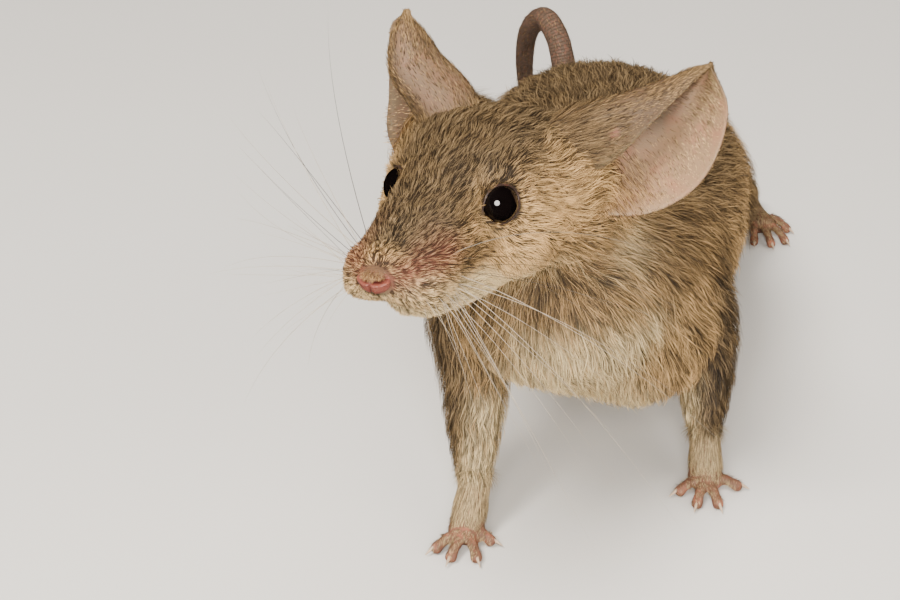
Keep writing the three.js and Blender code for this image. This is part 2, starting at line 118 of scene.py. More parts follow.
# About the eye's axis: the skin's opening and how deep it sinks within, the lid's crest, and the lid's margin.
EYELID = {"opening": 1.42, "crest": 1.62, "high": 0.52, "sunk": -0.9, "margin": 1.47, "margin_high": 0.70}
EYE_CORNER = (3.9, -3.2, 0.3)  # a pale spot before the left eye
EAR_SPOT = (9.5, 12.0, -7.0)  # a pale spot below and behind the left ear

EAR = {"thick": 0.42, "fold_at": -0.4, "crease": 0.05}
EAR_GRID = (50, 63)  # points up an ear and across it
# Rails of each ear from its root to its tip, in its own frame: aside (back), up its axis and towards its mouth.
# crest: where the front flap folds over. edge: the flap's free margin. rear: the rear margin.
# depth: how deep the hollow is. pale: the outer wall's share of the hollow's colour. shadow: how dark its base is.
EARS = {
    "left": {
        "root": (6.9, 9.2, -0.6),
        "axis": (0.683, 0.375, 0.627),
        "mouth": (0.385, -0.914, 0.127),
        "crest": (
            (-4.6, -0.5, 0), (-3.7, 3.4, 0), (-2.4, 7.0, 0),
            (-1.4, 9.8, 0), (-0.9, 12.0, 0), (-0.3, 13.6, 0),
        ),
        "edge": (
            (0.2, -1, 0.3), (0.9, 3, 0.8), (0.4, 6.6, 1.1),
            (0, 9.4, 1), (-0.2, 12, 0.5), (-0.25, 13.6, 0.1),
        ),
        "rear": (
            (3.0, -1.6, 0.3), (6.0, 2.3, 0.9), (6.8, 6.2, 1.1),
            (5.8, 9.6, 1), (3.2, 12.7, 0.5), (-0.3, 13.6, 0),
        ),
        "depth": (2.4, 3.1, 2.8, 2.2, 1.3, 0.05),
        "pale": 0.0,
        "shadow": 0.0,
        "turn": 1,
    },
    "right": {
        "root": (-3.3, 9.6, -1.9),
        "axis": (-0.3, -0.03, 0.96),
        "mouth": (-0.92, -0.38, 0),
        "crest": (
            (-3.6, -1, 1.2), (-3.7, 3.0, 0.7), (-3.2, 6.2, 0.8),
            (-2.8, 9.6, 2.0), (-1.9, 12.2, 1.6), (0, 13.6, 0.6),
        ),
        "edge": (
            (-1.2, -1, 2.0), (-1.4, 3.0, 1.7), (-1.7, 6.2, 1.9),
            (-1.8, 9.4, 2.7), (-1.2, 12, 2.0), (0, 13.6, 0.7),
        ),
        "rear": (
            (2.6, -1.2, 4.6), (4.4, 2.9, 5.6), (4.4, 6.6, 4.4),
            (3.8, 9.8, 3.3), (2.4, 12.4, 2.3), (0, 13.6, 0.6),
        ),
        "depth": (5.0, 5.4, 4.3, 3.1, 1.6, 0.1),
        "pale": 0.35,
        "shadow": 1.0,
        "turn": -1,
    },
}

# digits: their headings in degrees. reach: their lengths. pale: where cream begins and is full, on the inner side.
ARMS = {
    "left": {
        "shoulder": (8.2, 3, 24),
        "elbow": (11.5, 8.5, 13.6),
        "wrist": (12.6, 4.6, 4.2),
        "palm": (13.0, 2.4, 0.9),
        "digits": (-50, -8, 24, 92),
        "reach": (2.1, 2.8, 2.7, 2.2),
        "pale": (-0.15, 0.5),
    },
    "right": {
        "shoulder": (-9.3, -3.5, 23.5),
        "elbow": (-9.2, -1.5, 13.4),
        "wrist": (-7.9, -8.0, 4.4),
        "palm": (-8.1, -10.7, 0.9),
        "digits": (80, 27, -11, -42),
        "reach": (1.5, 2.6, 2.7, 2.5),
        "pale": (-0.3, 0.3),
    },
}
LEGS = {
    "left": {
        "hip": (6.6, 44.5, 17.6),
        "knee": (12.6, 50.5, 9.4),
        "heel": (14.3, 68.6, 3.4),
        "ball": (16.6, 62.4, 1.05),
        "heading": 16,
    },
    "right": {
        "hip": (-12.4, 43.5, 18),
        "knee": (-16.6, 42.5, 9.6),
        "heel": (-16.2, 59.5, 3.4),
        "ball": (-17.4, 52, 1.05),
        "heading": -10,
    },
}
LEG_PALE = (-0.15, 0.5)
FORE_ROOT = 0.9
# Across and behind the ball of the hind foot, turn from its heading, and length.
HIND_DIGITS = (
    (-1.6, 2.6, -26, 2.8), (-1.1, 0, -12, 3.9), (0, -0.3, 2, 4.2),
    (1.1, 0, 16, 3.9), (1.7, 2.2, 34, 3.0),
)
DIGIT = {"root": 0.62, "waist": 0.44, "pad": 0.56, "rise": 0.95, "tip": 0.5}
CLAW = {"long": 1.35, "root": 0.3, "tip": 0.03, "high": 0.78, "low": 0.3}
SOLE_FLAT = 0.12  # below this the sole is pressed flat

TAIL = {"root": 1.62, "tip": 0.48, "scale_rings": 190, "stations": 280, "sides": 16}
TAIL_SIDE = np.array((0.3, 0.2, 1.0))  # a way that the tail never takes
TAIL_PATH = np.array(
    [
        (-7.6, 56.5, 18.0),
        (-9.6, 58.8, 21.4),
        (-11.0, 60.2, 25.4),
        (-13.2, 62.4, 27.2),
        (-15.8, 66.4, 23.6),
        (-17.0, 72.5, 15.6),
        (-16.6, 79, 7.6),
        (-17.4, 85, 2.0),
        (-20.6, 89.4, 0.9),
        (-26, 90.4, 0.7),
        (-31, 86.8, 0.6),
        (-34.4, 81, 0.5),
    ]
)

# Each piece of the coat: its number of tufts and their width.
REGIONS = {
    "muzzle": (50000, 0.034),
    "brow": (60000, 0.038),
    "crown": (55000, 0.046),
    "cheeks": (52000, 0.046),
    "neck": (48000, 0.058),
    "chest": (56000, 0.060),
    "flanks": (50000, 0.074),
    "rump": (44000, 0.078),
    "legs": (40000, 0.056),
}
STATIONS = 3  # points along a tuft, from root to tip
PATCH = 0.003  # how far a tuft spreads on its UV map
EYE_CLEAR = 1.44  # no tuft comes nearer to the eye's axis
FLOOR_CLEAR = 0.1  # nor to the floor
GUARDS = 0.035  # the share of guard hairs among the tufts
TOP_TONE = 0.76  # the palest tone; a dark guard hair has 1
EAR_BASE = ((4.2, 8.4, 2.8), (7.8, 9.0, -4.0))  # where the left ear meets the head
EAR_CREASE = {"height": 0.27, "aside": -0.75}  # a small bare fold at the front of each ear
EAR_HAIRS, FOOT_HAIRS, TAIL_HAIRS, NOSE_HAIRS = 20000, 4500, 2000, 1600
WHISKER_ROWS, WHISKER_COLUMNS = 5, 6
# Of the first row and column: rise and swing in degrees. droop of the tips, and how much longer each column is.
WHISKERS = {
    "left": {"rise": 24, "swing": 38, "droop": -0.52, "longer": 3.0},
    "right": {"rise": 46, "swing": 30, "droop": -0.20, "longer": 4.2},
}

BODY_VOXEL, FOOT_VOXEL = 0.42, 0.19  # of the grids that forms are fused on
# The forms are numbered in the order of flows(), and each part of the body has its own.
TRUNK_FORM, NECK_FORM, HEAD_FORM = range(3)
PARTS = {
    "trunk": (TRUNK_FORM,),
    "neck": (NECK_FORM,),
    "head": (HEAD_FORM,),
    "left arm": (3, 4),
    "left leg": (5, 6),
    "right arm": (7, 8),
    "right leg": (9, 10),
}
# Columns of a row of a form, and of a sample along one, which adds its way, its form's number and the share of its
# length.
PLACE, SIZES, COAT, HAIR = slice(0, 3), slice(3, 6), 6, 7
WAY, FORM, ALONG = slice(8, 11), 11, 12
FLOW_SAMPLES = 24  # along each form
HIDE, EAR_SKIN, FOOT_SKIN, TAIL_SKIN, LID_SKIN = range(5)  # the skin's finishes
# dark is partly the coat's own colour and partly painted shade
HIDE_MARKS = ("cream", "dark", "warm", "bare")
# fold is painted shadow: beside each ear's front flap, in its crease and at the root of a shaded ear
EAR_MARKS = ("rim", "deep", "fold", "hollow", "furred")

CAMERA_AT = (0.02086, -0.15091, 0.085)
CAMERA_TURN = (62, 0, 12.12)  # degrees
# Each lamp: its place, its width in metres and its watts.
LAMPS = {
    "key": ((-0.16, -0.30, 0.55), 0.26, 7.6),
    "fill": ((0.45, -0.25, 0.30), 0.5, 1.7),
    "rim": ((0.1, 0.5, 0.45), 0.4, 2.0),
    "front": ((0.030, -0.205, 0.110), 0.085, 0.6),
}
LAMPS_AIM = (0, -0.02, 0.02)  # the middle of the animal

FLESH = ["head", "lower_jaw", "neck", "chest", "abdomen", "rump", "tail_1", "tail_2", "tail_3", "tail_4"]
FLESH += [
    f"{part}_{s}"
    for part in ("ear", "upper_arm", "forearm", "forefoot", "thigh", "shank", "hindfoot")
    for s in SIDES
]


# ---------------------------------------------------------------- arithmetic on arrays of points
def unit(v):
    """Vectors at length 1."""
    return v / np.maximum(np.linalg.norm(v, axis=-1, keepdims=True), 1e-12)


def step(low, high, x):
    """A smooth rise from 0 at low to 1 at high: 3t^2 - 2t^3."""
    t = np.clip((x - low) / (high - low), 0, 1)
    return t * t * (3 - 2 * t)


def bell(x, width):
    """A bump of height 1 at x = 0: exp(-(x/width)^2)."""
    return np.exp(-((x / width) ** 2))


def blend(a, b, t):
    """A value a share t of the way from a to b."""
    return a + (b - a) * t


def between(a, b, t):
    """A place a share t of the way from a to b."""
    return blend(np.asarray(a, float), np.asarray(b, float), t)


def dot(a, b):
    """Sum of the products of vectors' parts."""
    return np.sum(a * b, axis=-1)


def laid(way, normals):
    """Ways laid flat on a surface: less their share along its normals, at length 1."""
    return unit(way - normals * dot(way, normals)[:, None])


def turn_about_z(degrees):
    """The matrix of a turn about +Z."""
    c, s = np.cos(np.radians(degrees)), np.sin(np.radians(degrees))
    return np.array([(c, -s, 0), (s, c, 0), (0, 0, 1)])


HEAD_TURN = turn_about_z(HEAD_YAW)


def from_head(p):
    """Places of the head's frame in the animal's: turned by the head's yaw and moved to the eyes' midpoint."""
    return HEAD_AT + np.asarray(p, float) @ HEAD_TURN.T


def to_head(p):
    """Places of the animal's frame in the head's."""
    return (np.asarray(p, float) - HEAD_AT) @ HEAD_TURN


# From the animal's frame to the frame of the solids, by the middle of the left eye.
EYE_LOW, EYE_HIGH = (np.array(corner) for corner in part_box("eye_left"))
SHIFT = (EYE_LOW + EYE_HIGH) / (2 * MM) - from_head((EYE_ASIDE, 0, 0))


def ripple(p, size, seed=0):
    """A smooth, uneven field from about -1 to 1: three crossed sines whose waves are about size long."""
    rng = np.random.default_rng(SEED + seed)
    total = 0
    for _ in range(3):
        way = unit(rng.normal(size=3)) * 2 * np.pi / size
        bend = unit(rng.normal(size=3)) * 2 * np.pi / (size * 1.7)
        total = total + np.sin(p @ way + 1.3 * np.sin(p @ bend + rng.uniform(0, 6)) + rng.uniform(0, 6))
    return total / 2.2


def spline(points, t):
    """Catmull-Rom curve: a cubic between two points, with half the step between its neighbours as slope at each."""
    points = np.asarray(points, float)
    p = np.vstack([2 * points[0] - points[1], points, 2 * points[-1] - points[-2]])
    s = np.clip(t, 0, 1) * (len(points) - 1)
    i = np.minimum(s.astype(int), len(points) - 2)
    f = (s - i)[:, None]
    a, b, c, d = (p[i + k] for k in range(4))
    return 0.5 * (2 * b + (c - a) * f + (2 * a - 5 * b + 4 * c - d) * f**2 + (3 * b - a - 3 * c + d) * f**3)


def slope(points, t):
    """The way of a curve at t: the step from just before to just after, at length 1."""
    return unit(spline(points, t + 1e-3) - spline(points, t - 1e-3))


def across_path(side, along):
    """The ways at a right angle to a path's own that are nearest to a side: side - along * (along . side)."""
    side = np.asarray(side, float)
    return unit(side - along * (along @ side)[:, None])


def even(points, count):
    """Parameters that divide a curve into equal lengths."""
    t = np.linspace(0, 1, 400)
    walked = np.concatenate([[0], np.cumsum(np.linalg.norm(np.diff(spline(points, t), axis=0), axis=1))])
    return np.interp(np.linspace(0, walked[-1], count), walked, t)


# ---------------------------------------------------------------- shells: points and faces
def grid_faces(rows, columns):
    """Triangles over a grid of points that closes on itself along each row."""
    i, k = np.meshgrid(np.arange(rows - 1), np.arange(columns), indexing="ij")
    a, b = i * columns + k, i * columns + (k + 1) % columns
    c, d = a + columns, b + columns
    return np.concatenate([np.stack([a, c, b], -1).reshape(-1, 3), np.stack([b, c, d], -1).reshape(-1, 3)])


def closed(grid):
    """A closed shell over rings of points: the grid's triangles and a fan about the middle of each end ring."""
    rows, columns = grid.shape[:2]
    points = np.vstack([grid.reshape(-1, 3), grid[0].mean(0), grid[-1].mean(0)])
    k = np.arange(columns)
    first, last = rows * columns, rows * columns + 1
    end = (rows - 1) * columns
    start_fan = np.stack([np.full(columns, first), k, (k + 1) % columns], -1)
    end_fan = np.stack([np.full(columns, last), end + (k + 1) % columns, end + k], -1)
    return points, np.concatenate([grid_faces(rows, columns), start_fan, end_fan])


def tube(path, sizes, sides=24, side=(1, 0, 0), blunt=(0.7, 0.7), rings=20, dome=6):
    """Oval rings along a path: centre + across * width * cos a + rise * (up or down) * sin a.

    A quarter of an oval closes each end: its rings move on by sin f and shrink by cos f.
    """
    f = np.linspace(0.48 * np.pi, 0.08 * np.pi, dome)
    t = np.concatenate([np.zeros(dome), np.linspace(0, 1, rings), np.ones(dome)])
    shift = np.concatenate([-blunt[0] * np.sin(f), np.zeros(rings), blunt[1] * np.sin(f[::-1])])
    scale = np.concatenate([np.cos(f), np.ones(rings), np.cos(f[::-1])])
    size = spline(sizes, t)
    along = slope(path, t)
    centre = spline(path, t) + along * (shift * size.min(1))[:, None]
    across = across_path(side, along)
    rise = np.cross(across, along)
    a = np.linspace(0, 2 * np.pi, sides, endpoint=False)
    tall = np.where(np.sin(a) > 0, size[:, 1:2], size[:, 2:3])
    return (
        centre[:, None]
        + across[:, None] * (size[:, :1] * scale[:, None] * np.cos(a))[..., None]
        + rise[:, None] * (tall * scale[:, None] * np.sin(a))[..., None]
    )


def form(stations, **options):
    """The closed shell of a form, drawn in by the depth of its coat."""
    return closed(tube(stations[:, PLACE], stations[:, SIZES] - stations[:, COAT : COAT + 1], **options))


def ball(centre, size, rows=20, columns=28):
    """An oval ball: latitude and longitude on a sphere, stretched."""
    lat = np.linspace(0.02 * np.pi, 0.98 * np.pi, rows)[:, None]
    lon = np.linspace(0, 2 * np.pi, columns, endpoint=False)[None]
    sphere = np.stack([np.sin(lat) * np.cos(lon), np.sin(lat) * np.sin(lon), np.cos(lat) + 0 * lon], -1)
    return closed(np.asarray(centre) + sphere * np.asarray(size))


def together(shells):
    """Several shells as one: their points in turn, their faces renumbered."""
    starts = np.cumsum([0] + [len(p) for p, _ in shells[:-1]])
    return np.vstack([p for p, _ in shells]), np.vstack([f + s for (_, f), s in zip(shells, starts)])


def headed(angle):
    """The level way at an angle in degrees from forward towards the left."""
    a = np.radians(angle)
    return np.array([np.sin(a), -np.cos(a), 0])


# ---------------------------------------------------------------- meshes and objects
def new_mesh(name, points, faces):
    """A smooth-shaded mesh, from the animal's frame in millimetres to the solids' in metres."""
    mesh = bpy.data.meshes.new(name)
    mesh.from_pydata((points + SHIFT) * MM, [], faces)
    mesh.shade_smooth()
    return mesh


def new_piece(name, points, faces, material, nodes=(), marks=None, uv=None):
    """A finished piece: its mesh, marks on its points, material, body, nodes that it stands for, and slot."""
    mesh = new_mesh(name, points, faces)
    for mark, values in (marks or {}).items():
        layer = mesh.attributes.new(mark, "FLOAT", "POINT")
        layer.data.foreach_set("value", np.ascontiguousarray(values, dtype=np.float32))
    if uv is not None:
        layer = mesh.uv_layers.new(name="OFBake")
        layer.uv.foreach_set("vector", np.ascontiguousarray(uv[faces.ravel()], dtype=np.float32).ravel())
    mesh.materials.append(material)
    piece = bpy.data.objects.new(name, mesh)
    bpy.context.scene.collection.objects.link(piece)
    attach(piece, "root")
    if nodes:
        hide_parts(*nodes)
    return piece


def fused(shell, voxel, smoothing):
    """Points and quads of one surface round overlapping shells: remeshed on a grid of cubes, then smoothed."""
    source = bpy.data.objects.new("fusing", new_mesh("fusing", *shell))
    bpy.context.scene.collection.objects.link(source)
    remesh = source.modifiers.new("Remesh", "REMESH")
    remesh.mode = "VOXEL"
    remesh.voxel_size = voxel * MM
    smooth = source.modifiers.new("Smooth", "SMOOTH")
    smooth.factor = 0.5
    smooth.iterations = smoothing
    made = source.evaluated_get(bpy.context.evaluated_depsgraph_get()).to_mesh()
    points = np.empty(len(made.vertices) * 3, dtype=np.float32)
    made.vertices.foreach_get("co", points)
    corners = np.empty(len(made.loops), dtype=np.int32)
    made.loops.foreach_get("vertex_index", corners)
    mesh = source.data
    bpy.data.objects.remove(source)
    bpy.data.meshes.remove(mesh)
    return points.reshape(-1, 3).astype(float) / MM - SHIFT, corners.reshape(-1, 4)


def neighbours(quads):
    """Every edge of a closed surface of quads, once in each direction."""
    return np.concatenate([quads[:, [k, (k + 1) % 4]] for k in range(4)])


def relaxed(values, edges, rounds, share=0.5):
    """Values at points, each moved a share of the way to the mean of its neighbours, again and again."""
    here, there = edges.T
    count = np.bincount(here, minlength=len(values)).clip(1)[:, None]
    share = np.broadcast_to(np.asarray(share, float), (len(values),))[:, None]
    for _ in range(rounds):
        pairs = values[there]
        total = np.stack([np.bincount(here, pairs[:, k], len(values)) for k in range(values.shape[1])], -1)
        values = values + share * (total / count - values)
    return values


def quad_normals(points, quads):
    """Normals of quads, each twice its area long: the cross product of its diagonals."""
    return np.cross(points[quads[:, 2]] - points[quads[:, 0]], points[quads[:, 3]] - points[quads[:, 1]])


def quad_areas(points, quads):
    """Twice the areas of quads."""
    return np.linalg.norm(quad_normals(points, quads), axis=1)


def point_normals(points, quads):
    """Normals at points: the mean of the quads round each, by area."""
    n = quad_normals(points, quads)
    sums = (
        np.stack([np.bincount(quads[:, c], n[:, k], len(points)) for k in range(3)], -1)
        for c in range(4)
    )
    return unit(sum(sums))


def scattered(quads, odds, count, rng):
    """Random quads by their odds, and random shares of both sides of each."""
    running = np.cumsum(odds)
    face = np.searchsorted(running, rng.uniform(0, running[-1], count))
    a, b = rng.uniform(0, 1, (2, count, 1))
    return quads[face], a, b


# ---------------------------------------------------------------- the hide: one skin under the coat
def rows_at(*stations):
    """Rows of a form from pairs of a place and its sizes."""
    return np.array([(*place, *sizes) for place, sizes in stations])


def arm_forms(s):
    """Upper arm and forearm: rows of a form from shoulder to elbow and from elbow to wrist."""
    shoulder, elbow, wrist = (ARMS[s][k] for k in ("shoulder", "elbow", "wrist"))
    upper = rows_at(
        (shoulder, (4.8, 5.6, 5.4, 1.2, 4.4)),
        (between(shoulder, elbow, 0.55), (4.6, 5.2, 4.8, 1.0, 3.8)),
        (elbow, (3.6, 3.5, 3.4, 0.7, 2.8)),
    )
    lower = rows_at(
        (elbow, (3.8, 3.4, 3.3, 0.7, 2.8)),
        (between(elbow, wrist, 0.45), (3.1, 2.7, 2.5, 0.55, 2.0)),
        (wrist, (1.75, 1.5, 1.5, 0.3, 1.0)),
    )
    return upper, lower


def leg_forms(s):
    """Thigh and shank: rows of a form from hip to knee and from knee to heel."""
    hip, knee, heel = (np.asarray(LEGS[s][k], float) for k in ("hip", "knee", "heel"))
    thigh = rows_at(
        (hip + (0, 1, 0), (6.0, 8.6, 8.0, 1.5, 5.6)),
        (between(hip, knee, 0.6), (5.0, 7.6, 7.2, 1.3, 5.0)),
        (knee, (3.1, 5.2, 4.6, 0.8, 3.6)),
    )
    shank = rows_at(
        (knee + (0.2, 0.5, -1.6), (3.0, 4.0, 3.2, 0.7, 3.4)),
        (between(knee - (0, 0, 2.4), heel, 0.5), (2.5, 3.0, 2.2, 0.5, 2.4)),
        (heel, (1.5, 1.5, 1.4, 0.25, 1.0)),
    )
    return thigh, shank


def in_head_frame(shell):
    """A shell of the head's frame, moved to the animal's."""
    return from_head(shell[0]), shell[1]


def lump(spot, way):
    """An oval ball of the head on the side that way says, drawn in by the depth of its coat."""
    size = np.asarray(spot["size"]) - spot["coat"]
    return in_head_frame(ball(np.asarray(spot["at"]) * (way, 1, 1), size))


def rough_body():
    """Every fleshy form as a closed shell, each reaching into its neighbours."""
    shells = [form(TRUNK, sides=48, rings=40), form(NECK, sides=36)]
    shells.append(ball(BREAST["at"], np.asarray(BREAST["size"]) - BREAST["coat"]))
    shells.append(in_head_frame(form(SKULL, sides=36, rings=40, blunt=(0.8, 0.6))))
    shells.append(in_head_frame(form(JAW, sides=24)))
    for s, way in SIDES.items():
        shells += [lump(WHISKER_PAD, way), lump(CHEEK, way)]
        shells += [form(limb) for limb in (*arm_forms(s), *leg_forms(s))]
    return together(shells)


def flows():
    """Samples along every form's middle: its row there, the hair's way, its number and the share of its length."""
    skull = SKULL.copy()
    skull[:, PLACE] = from_head(SKULL[:, PLACE])
    forms = [TRUNK, NECK, skull]
    for s in SIDES:
        forms += [*arm_forms(s), *leg_forms(s)]
    t = np.linspace(0, 1, FLOW_SAMPLES)
    samples = []
    for number, stations in enumerate(forms):
        way = slope(stations[:, PLACE], t)
        samples.append(np.column_stack([spline(stations, t), way, np.full(FLOW_SAMPLES, number), t]))
    return np.vstack(samples)


def eye_line(way):
    """Middle of an eye and the way it looks, in the head's frame."""
    return np.array([EYE_ASIDE * way, 0, 0]), unit(EYE_AXIS * (way, 1, 1))


def carve_face(points):
    """Hollows and folds of the face, worked out in the head's frame.

    Eye: inside a circle about its axis the skin sinks behind the eyeball, and round it stands a low lid.
    Mouth: a groove under the upper lip. Lip cleft: a groove on the midline under the nose.
    """
    p = to_head(points)
    for way in SIDES.values():
        centre, axis = eye_line(way)
        height = (p - centre) @ axis
        reach = np.linalg.norm(p - centre - height[:, None] * axis, axis=1)
        lid = blend(EYELID["sunk"], EYELID["high"], step(1.1, 1.45, reach))
        lid = lid + 0.18 * bell(reach - EYELID["crest"], 0.3)
        near = (1 - step(1.9, 3.3, reach)) * (height > -1.5)
        eased = np.minimum(np.maximum(height, lid - 0.25), lid)
        want = np.where(reach < EYELID["opening"], lid, eased)
        p = p + axis * ((want - height) * near)[:, None]
    x, y, z = p.T
    mouth = bell(z + 4.55 + 0.10 * (y + 8), 0.42) * (1 - step(-6.5, -3.5, y)) * step(-14, -11, y)
    cleft = bell(x, 0.3) * (1 - step(-12.2, -11.2, y)) * (1 - step(-2.2, -1.6, z))
    middle = np.array([0, -6.0, -2.6])
    p = p - unit(p - middle) * (0.45 * mouth + 0.35 * cleft)[:, None]
    return from_head(p)


def around_eye(head, way):
    """How far places of the head's frame are from an eye's axis, or 99 behind it, and the way out from it."""
    centre, axis = eye_line(way)
    gap = head - centre
    height = gap @ axis
    out = gap - height[..., None] * axis
    reach = np.linalg.norm(out, axis=-1)
    return np.where(height > -0.8, reach, 99), out / np.maximum(reach, 1e-6)[..., None]


def ear_leaf(s, u, w):
    """Middle surface of an ear at heights u and widths w, from -1 at its front edge to 1 behind, and its normals.

    Two flaps meet at the crest: the hollow runs from crest to rear margin, sinking as sin(pi t), and the front
    flap from crest to edge. Past the crest each leaves it as sqrt(t^2 + e^2) - e, with a gap between them. The
    normals point out of the hollow's mouth.
    """
    ear = EARS[s]
    up = unit(np.asarray(ear["axis"], float))
    opening = unit(np.asarray(ear["mouth"], float) - up * (np.asarray(ear["mouth"]) @ up))
    across = np.cross(up, opening) * ear["turn"]
    crest, edge, rear = (spline(ear[k], u)[:, None] for k in ("crest", "edge", "rear"))
    depth = spline(np.array(ear["depth"])[:, None], u)
    fold_at, e = EAR["fold_at"], EAR["crease"]
    past = w[None] - fold_at
    flap, bowl = np.clip(-past / (1 + fold_at), 0, 1), np.clip(past / (1 - fold_at), 0, 1)
    eased = [(np.sqrt(t**2 + e**2) - e) / (np.sqrt(1 + e**2) - e) for t in (flap, bowl)]
    place = crest + (edge - crest) * eased[0][..., None] + (rear - crest) * eased[1][..., None]
    sink = depth * np.sin(np.pi * bowl**0.8) ** 0.9 + 0.3 * depth * bowl * (1 - bowl)
    gap = 0.32 * np.tanh(past / 0.06) * (1 - flap) * (1 - bowl) * step(1.0, 0.8, u)[:, None]
    puff = 0.10 * depth * np.sin(np.pi * flap)
    wave = 0.14 * np.sin(9 * w[None] + 4 * u[:, None]) + 0.10 * np.sin(23 * u[:, None] + 3 * w[None])
    forward = place[..., 2] - sink - gap + puff + wave * bowl * (1 - bowl) * 3
    points = np.asarray(ear["root"]) + across * place[..., :1] + up * place[..., 1:2]
    points = points + opening * forward[..., None]
    normals = np.cross(np.gradient(points, axis=1), np.gradient(points, axis=0)) * ear["turn"]
    return points, unit(normals)


def ear_grid(rows=EAR_GRID[0], columns=EAR_GRID[1]):
    """Heights up an ear, closer together towards its tip as 1 - (1 - q)^1.5, and widths across it."""
    q = np.linspace(0, 1, rows)
    return 0.985 * (1 - (1 - q) ** 1.5), np.linspace(-1, 1, columns)


def ear_wall(u, w):
    """Thickness of an ear, thinning towards its edges and its tip."""
    return EAR["thick"] * (1 - 0.6 * np.abs(w) ** 6) * (1 - 0.55 * step(0.5, 1, u))


def ear_rings(s, inner, outer):
    """Rings about an ear from values on both walls: over the inner one and back over the outer one."""
    ring = np.concatenate([inner, outer[:, ::-1]], 1)
    return ring[:, ::-1] if EARS[s]["turn"] > 0 else ring


def ear_shell(s):
    """An ear: its leaf given a wall, half of it towards its mouth and half behind."""
    u, w = ear_grid()
    points, normals = ear_leaf(s, u, w)
    half = normals * (0.5 * ear_wall(u[:, None], w[None]))[..., None]
    return in_head_frame(closed(ear_rings(s, points + half, points - half)))


# ---------------------------------------------------------------- feet and tail
def digit_lines(s, hind):
    """Root, heading and length of each digit, from the inner one outwards."""
    way = SIDES[s]
    if not hind:
        arm = ARMS[s]
        return [
            (np.asarray(arm["palm"]) + FORE_ROOT * headed(angle), headed(angle), reach)
            for angle, reach in zip(arm["digits"], arm["reach"])
        ]
    leg = LEGS[s]
    ahead, outwards = headed(leg["heading"]), headed(leg["heading"] + 90 * way)
    ball_at = np.asarray(leg["ball"])
    return [
        (ball_at + outwards * across - ahead * behind, headed(leg["heading"] + turn * way), long)
        for across, behind, turn, long in HIND_DIGITS
    ]


def digit_shell(root, direction, long, hind):
    """A digit: a tube that arches over its middle joint, and swells there and at the pad under the claw."""
    t = np.linspace(0, 1, 9)
    reach = long + 0.1
    arch = DIGIT["rise"] + 0.28 * np.sin(np.pi * t**0.8) * (1.2 if hind else 1)
    arch = arch - (DIGIT["rise"] - DIGIT["tip"]) * t**2
    path = np.array([*root[:2], 0]) + direction * (reach * t)[:, None] + np.array([0, 0, 1]) * arch[:, None]
    girth = blend(DIGIT["root"], DIGIT["waist"], step(0, 0.45, t)) + 0.09 * bell(t - 0.5, 0.12)
    girth = girth + (DIGIT["pad"] - DIGIT["waist"]) * step(0.62, 0.92, t)
    sizes = np.column_stack([girth] * 3)
    return closed(tube(path, sizes, sides=16, side=np.cross(direction, (0, 0, 1)), rings=24))


def foot_shell(s, hind):
    """Palm or sole with its digits and pads, fused, and pressed flat at the floor as f exp((z - f) / f)."""
    if hind:
        heel, front = np.asarray(LEGS[s]["heel"]), np.asarray(LEGS[s]["ball"])
        path = [heel + (0, 0.5, -0.6), heel + (0, 0.6, -1.9), between(heel - (0, 0, 2.1), front, 0.5), front]
        sizes = [(1.2, 1.3, 1.2), (1.3, 1.5, 1.5), (1.45, 1.25, 1.3), (2.0, 1.1, 1.25)]
        pads = [(-0.9, 1.4), (0.0, 0.3), (1.0, 1.2), (0.3, 3.0), (-0.5, 4.4)]
        heading = LEGS[s]["heading"]
    else:
        wrist, front = np.asarray(ARMS[s]["wrist"]), np.asarray(ARMS[s]["palm"])
        toe = between(wrist, front, 1.35)
        path = [wrist + 0.25 * (wrist - front), wrist, between(wrist, front, 0.6), front, (*toe[:2], front[2])]
        sizes = [(1.4, 1.2, 1.2), (1.35, 1.1, 1.1), (1.5, 1.05, 1.1), (1.75, 1.0, 1.15), (1.4, 0.75, 1.05)]
        pads = [(-0.9, 0.1), (0.0, -0.5), (0.9, 0.1), (-0.6, 1.4), (0.6, 1.4)]
        toe_way = toe - wrist
        heading = np.degrees(np.arctan2(toe_way[0], -toe_way[1]))
    shells = [closed(tube(np.array(path), np.array(sizes), blunt=(0.5, 0.6)))]
    shells += [digit_shell(*line, hind) for line in digit_lines(s, hind)]
    ahead, outwards = headed(heading), headed(heading + 90)
    for aside, behind in pads:
        middle = front + outwards * aside - ahead * behind
        shells.append(ball((*middle[:2], 0.45), (0.55, 0.55, 0.5), rows=10, columns=14))
    points, quads = fused(together(shells), FOOT_VOXEL, 3)
    z = points[:, 2]
    points[:, 2] = np.where(z < SOLE_FLAT, SOLE_FLAT * np.exp(np.minimum(z - SOLE_FLAT, 0) / SOLE_FLAT), z)
    points[:, 2] -= points[:, 2].min()
    return points, quads


def tail_frame(t, share):
    """The tail's way, two ways across it and its girth, at parameters of its path and shares of its length."""
    along = slope(TAIL_PATH, t)
    across = across_path(TAIL_SIDE, along)
    return along, across, np.cross(across, along), blend(TAIL["root"], TAIL["tip"], share**0.9)


def tail_shell():
    """The tail: round rings along its path, thinning as share^0.9 of its length, and the share at each point."""
    share = np.linspace(0, 1, TAIL["stations"])
    t = even(TAIL_PATH, TAIL["stations"])
    _, across, rise, girth = tail_frame(t, share)
    a = np.linspace(0, 2 * np.pi, TAIL["sides"], endpoint=False)
    girth = girth * np.where(share > 0.995, 0.55, 1)
    ring = across[:, None] * np.cos(a)[:, None] + rise[:, None] * np.sin(a)[:, None]
    grid = spline(TAIL_PATH, t)[:, None] + ring * girth[:, None, None]
    grid[..., 2] = np.maximum(grid[..., 2], 0)
    return *closed(grid), np.concatenate([np.repeat(share, TAIL["sides"]), [0, 1]])


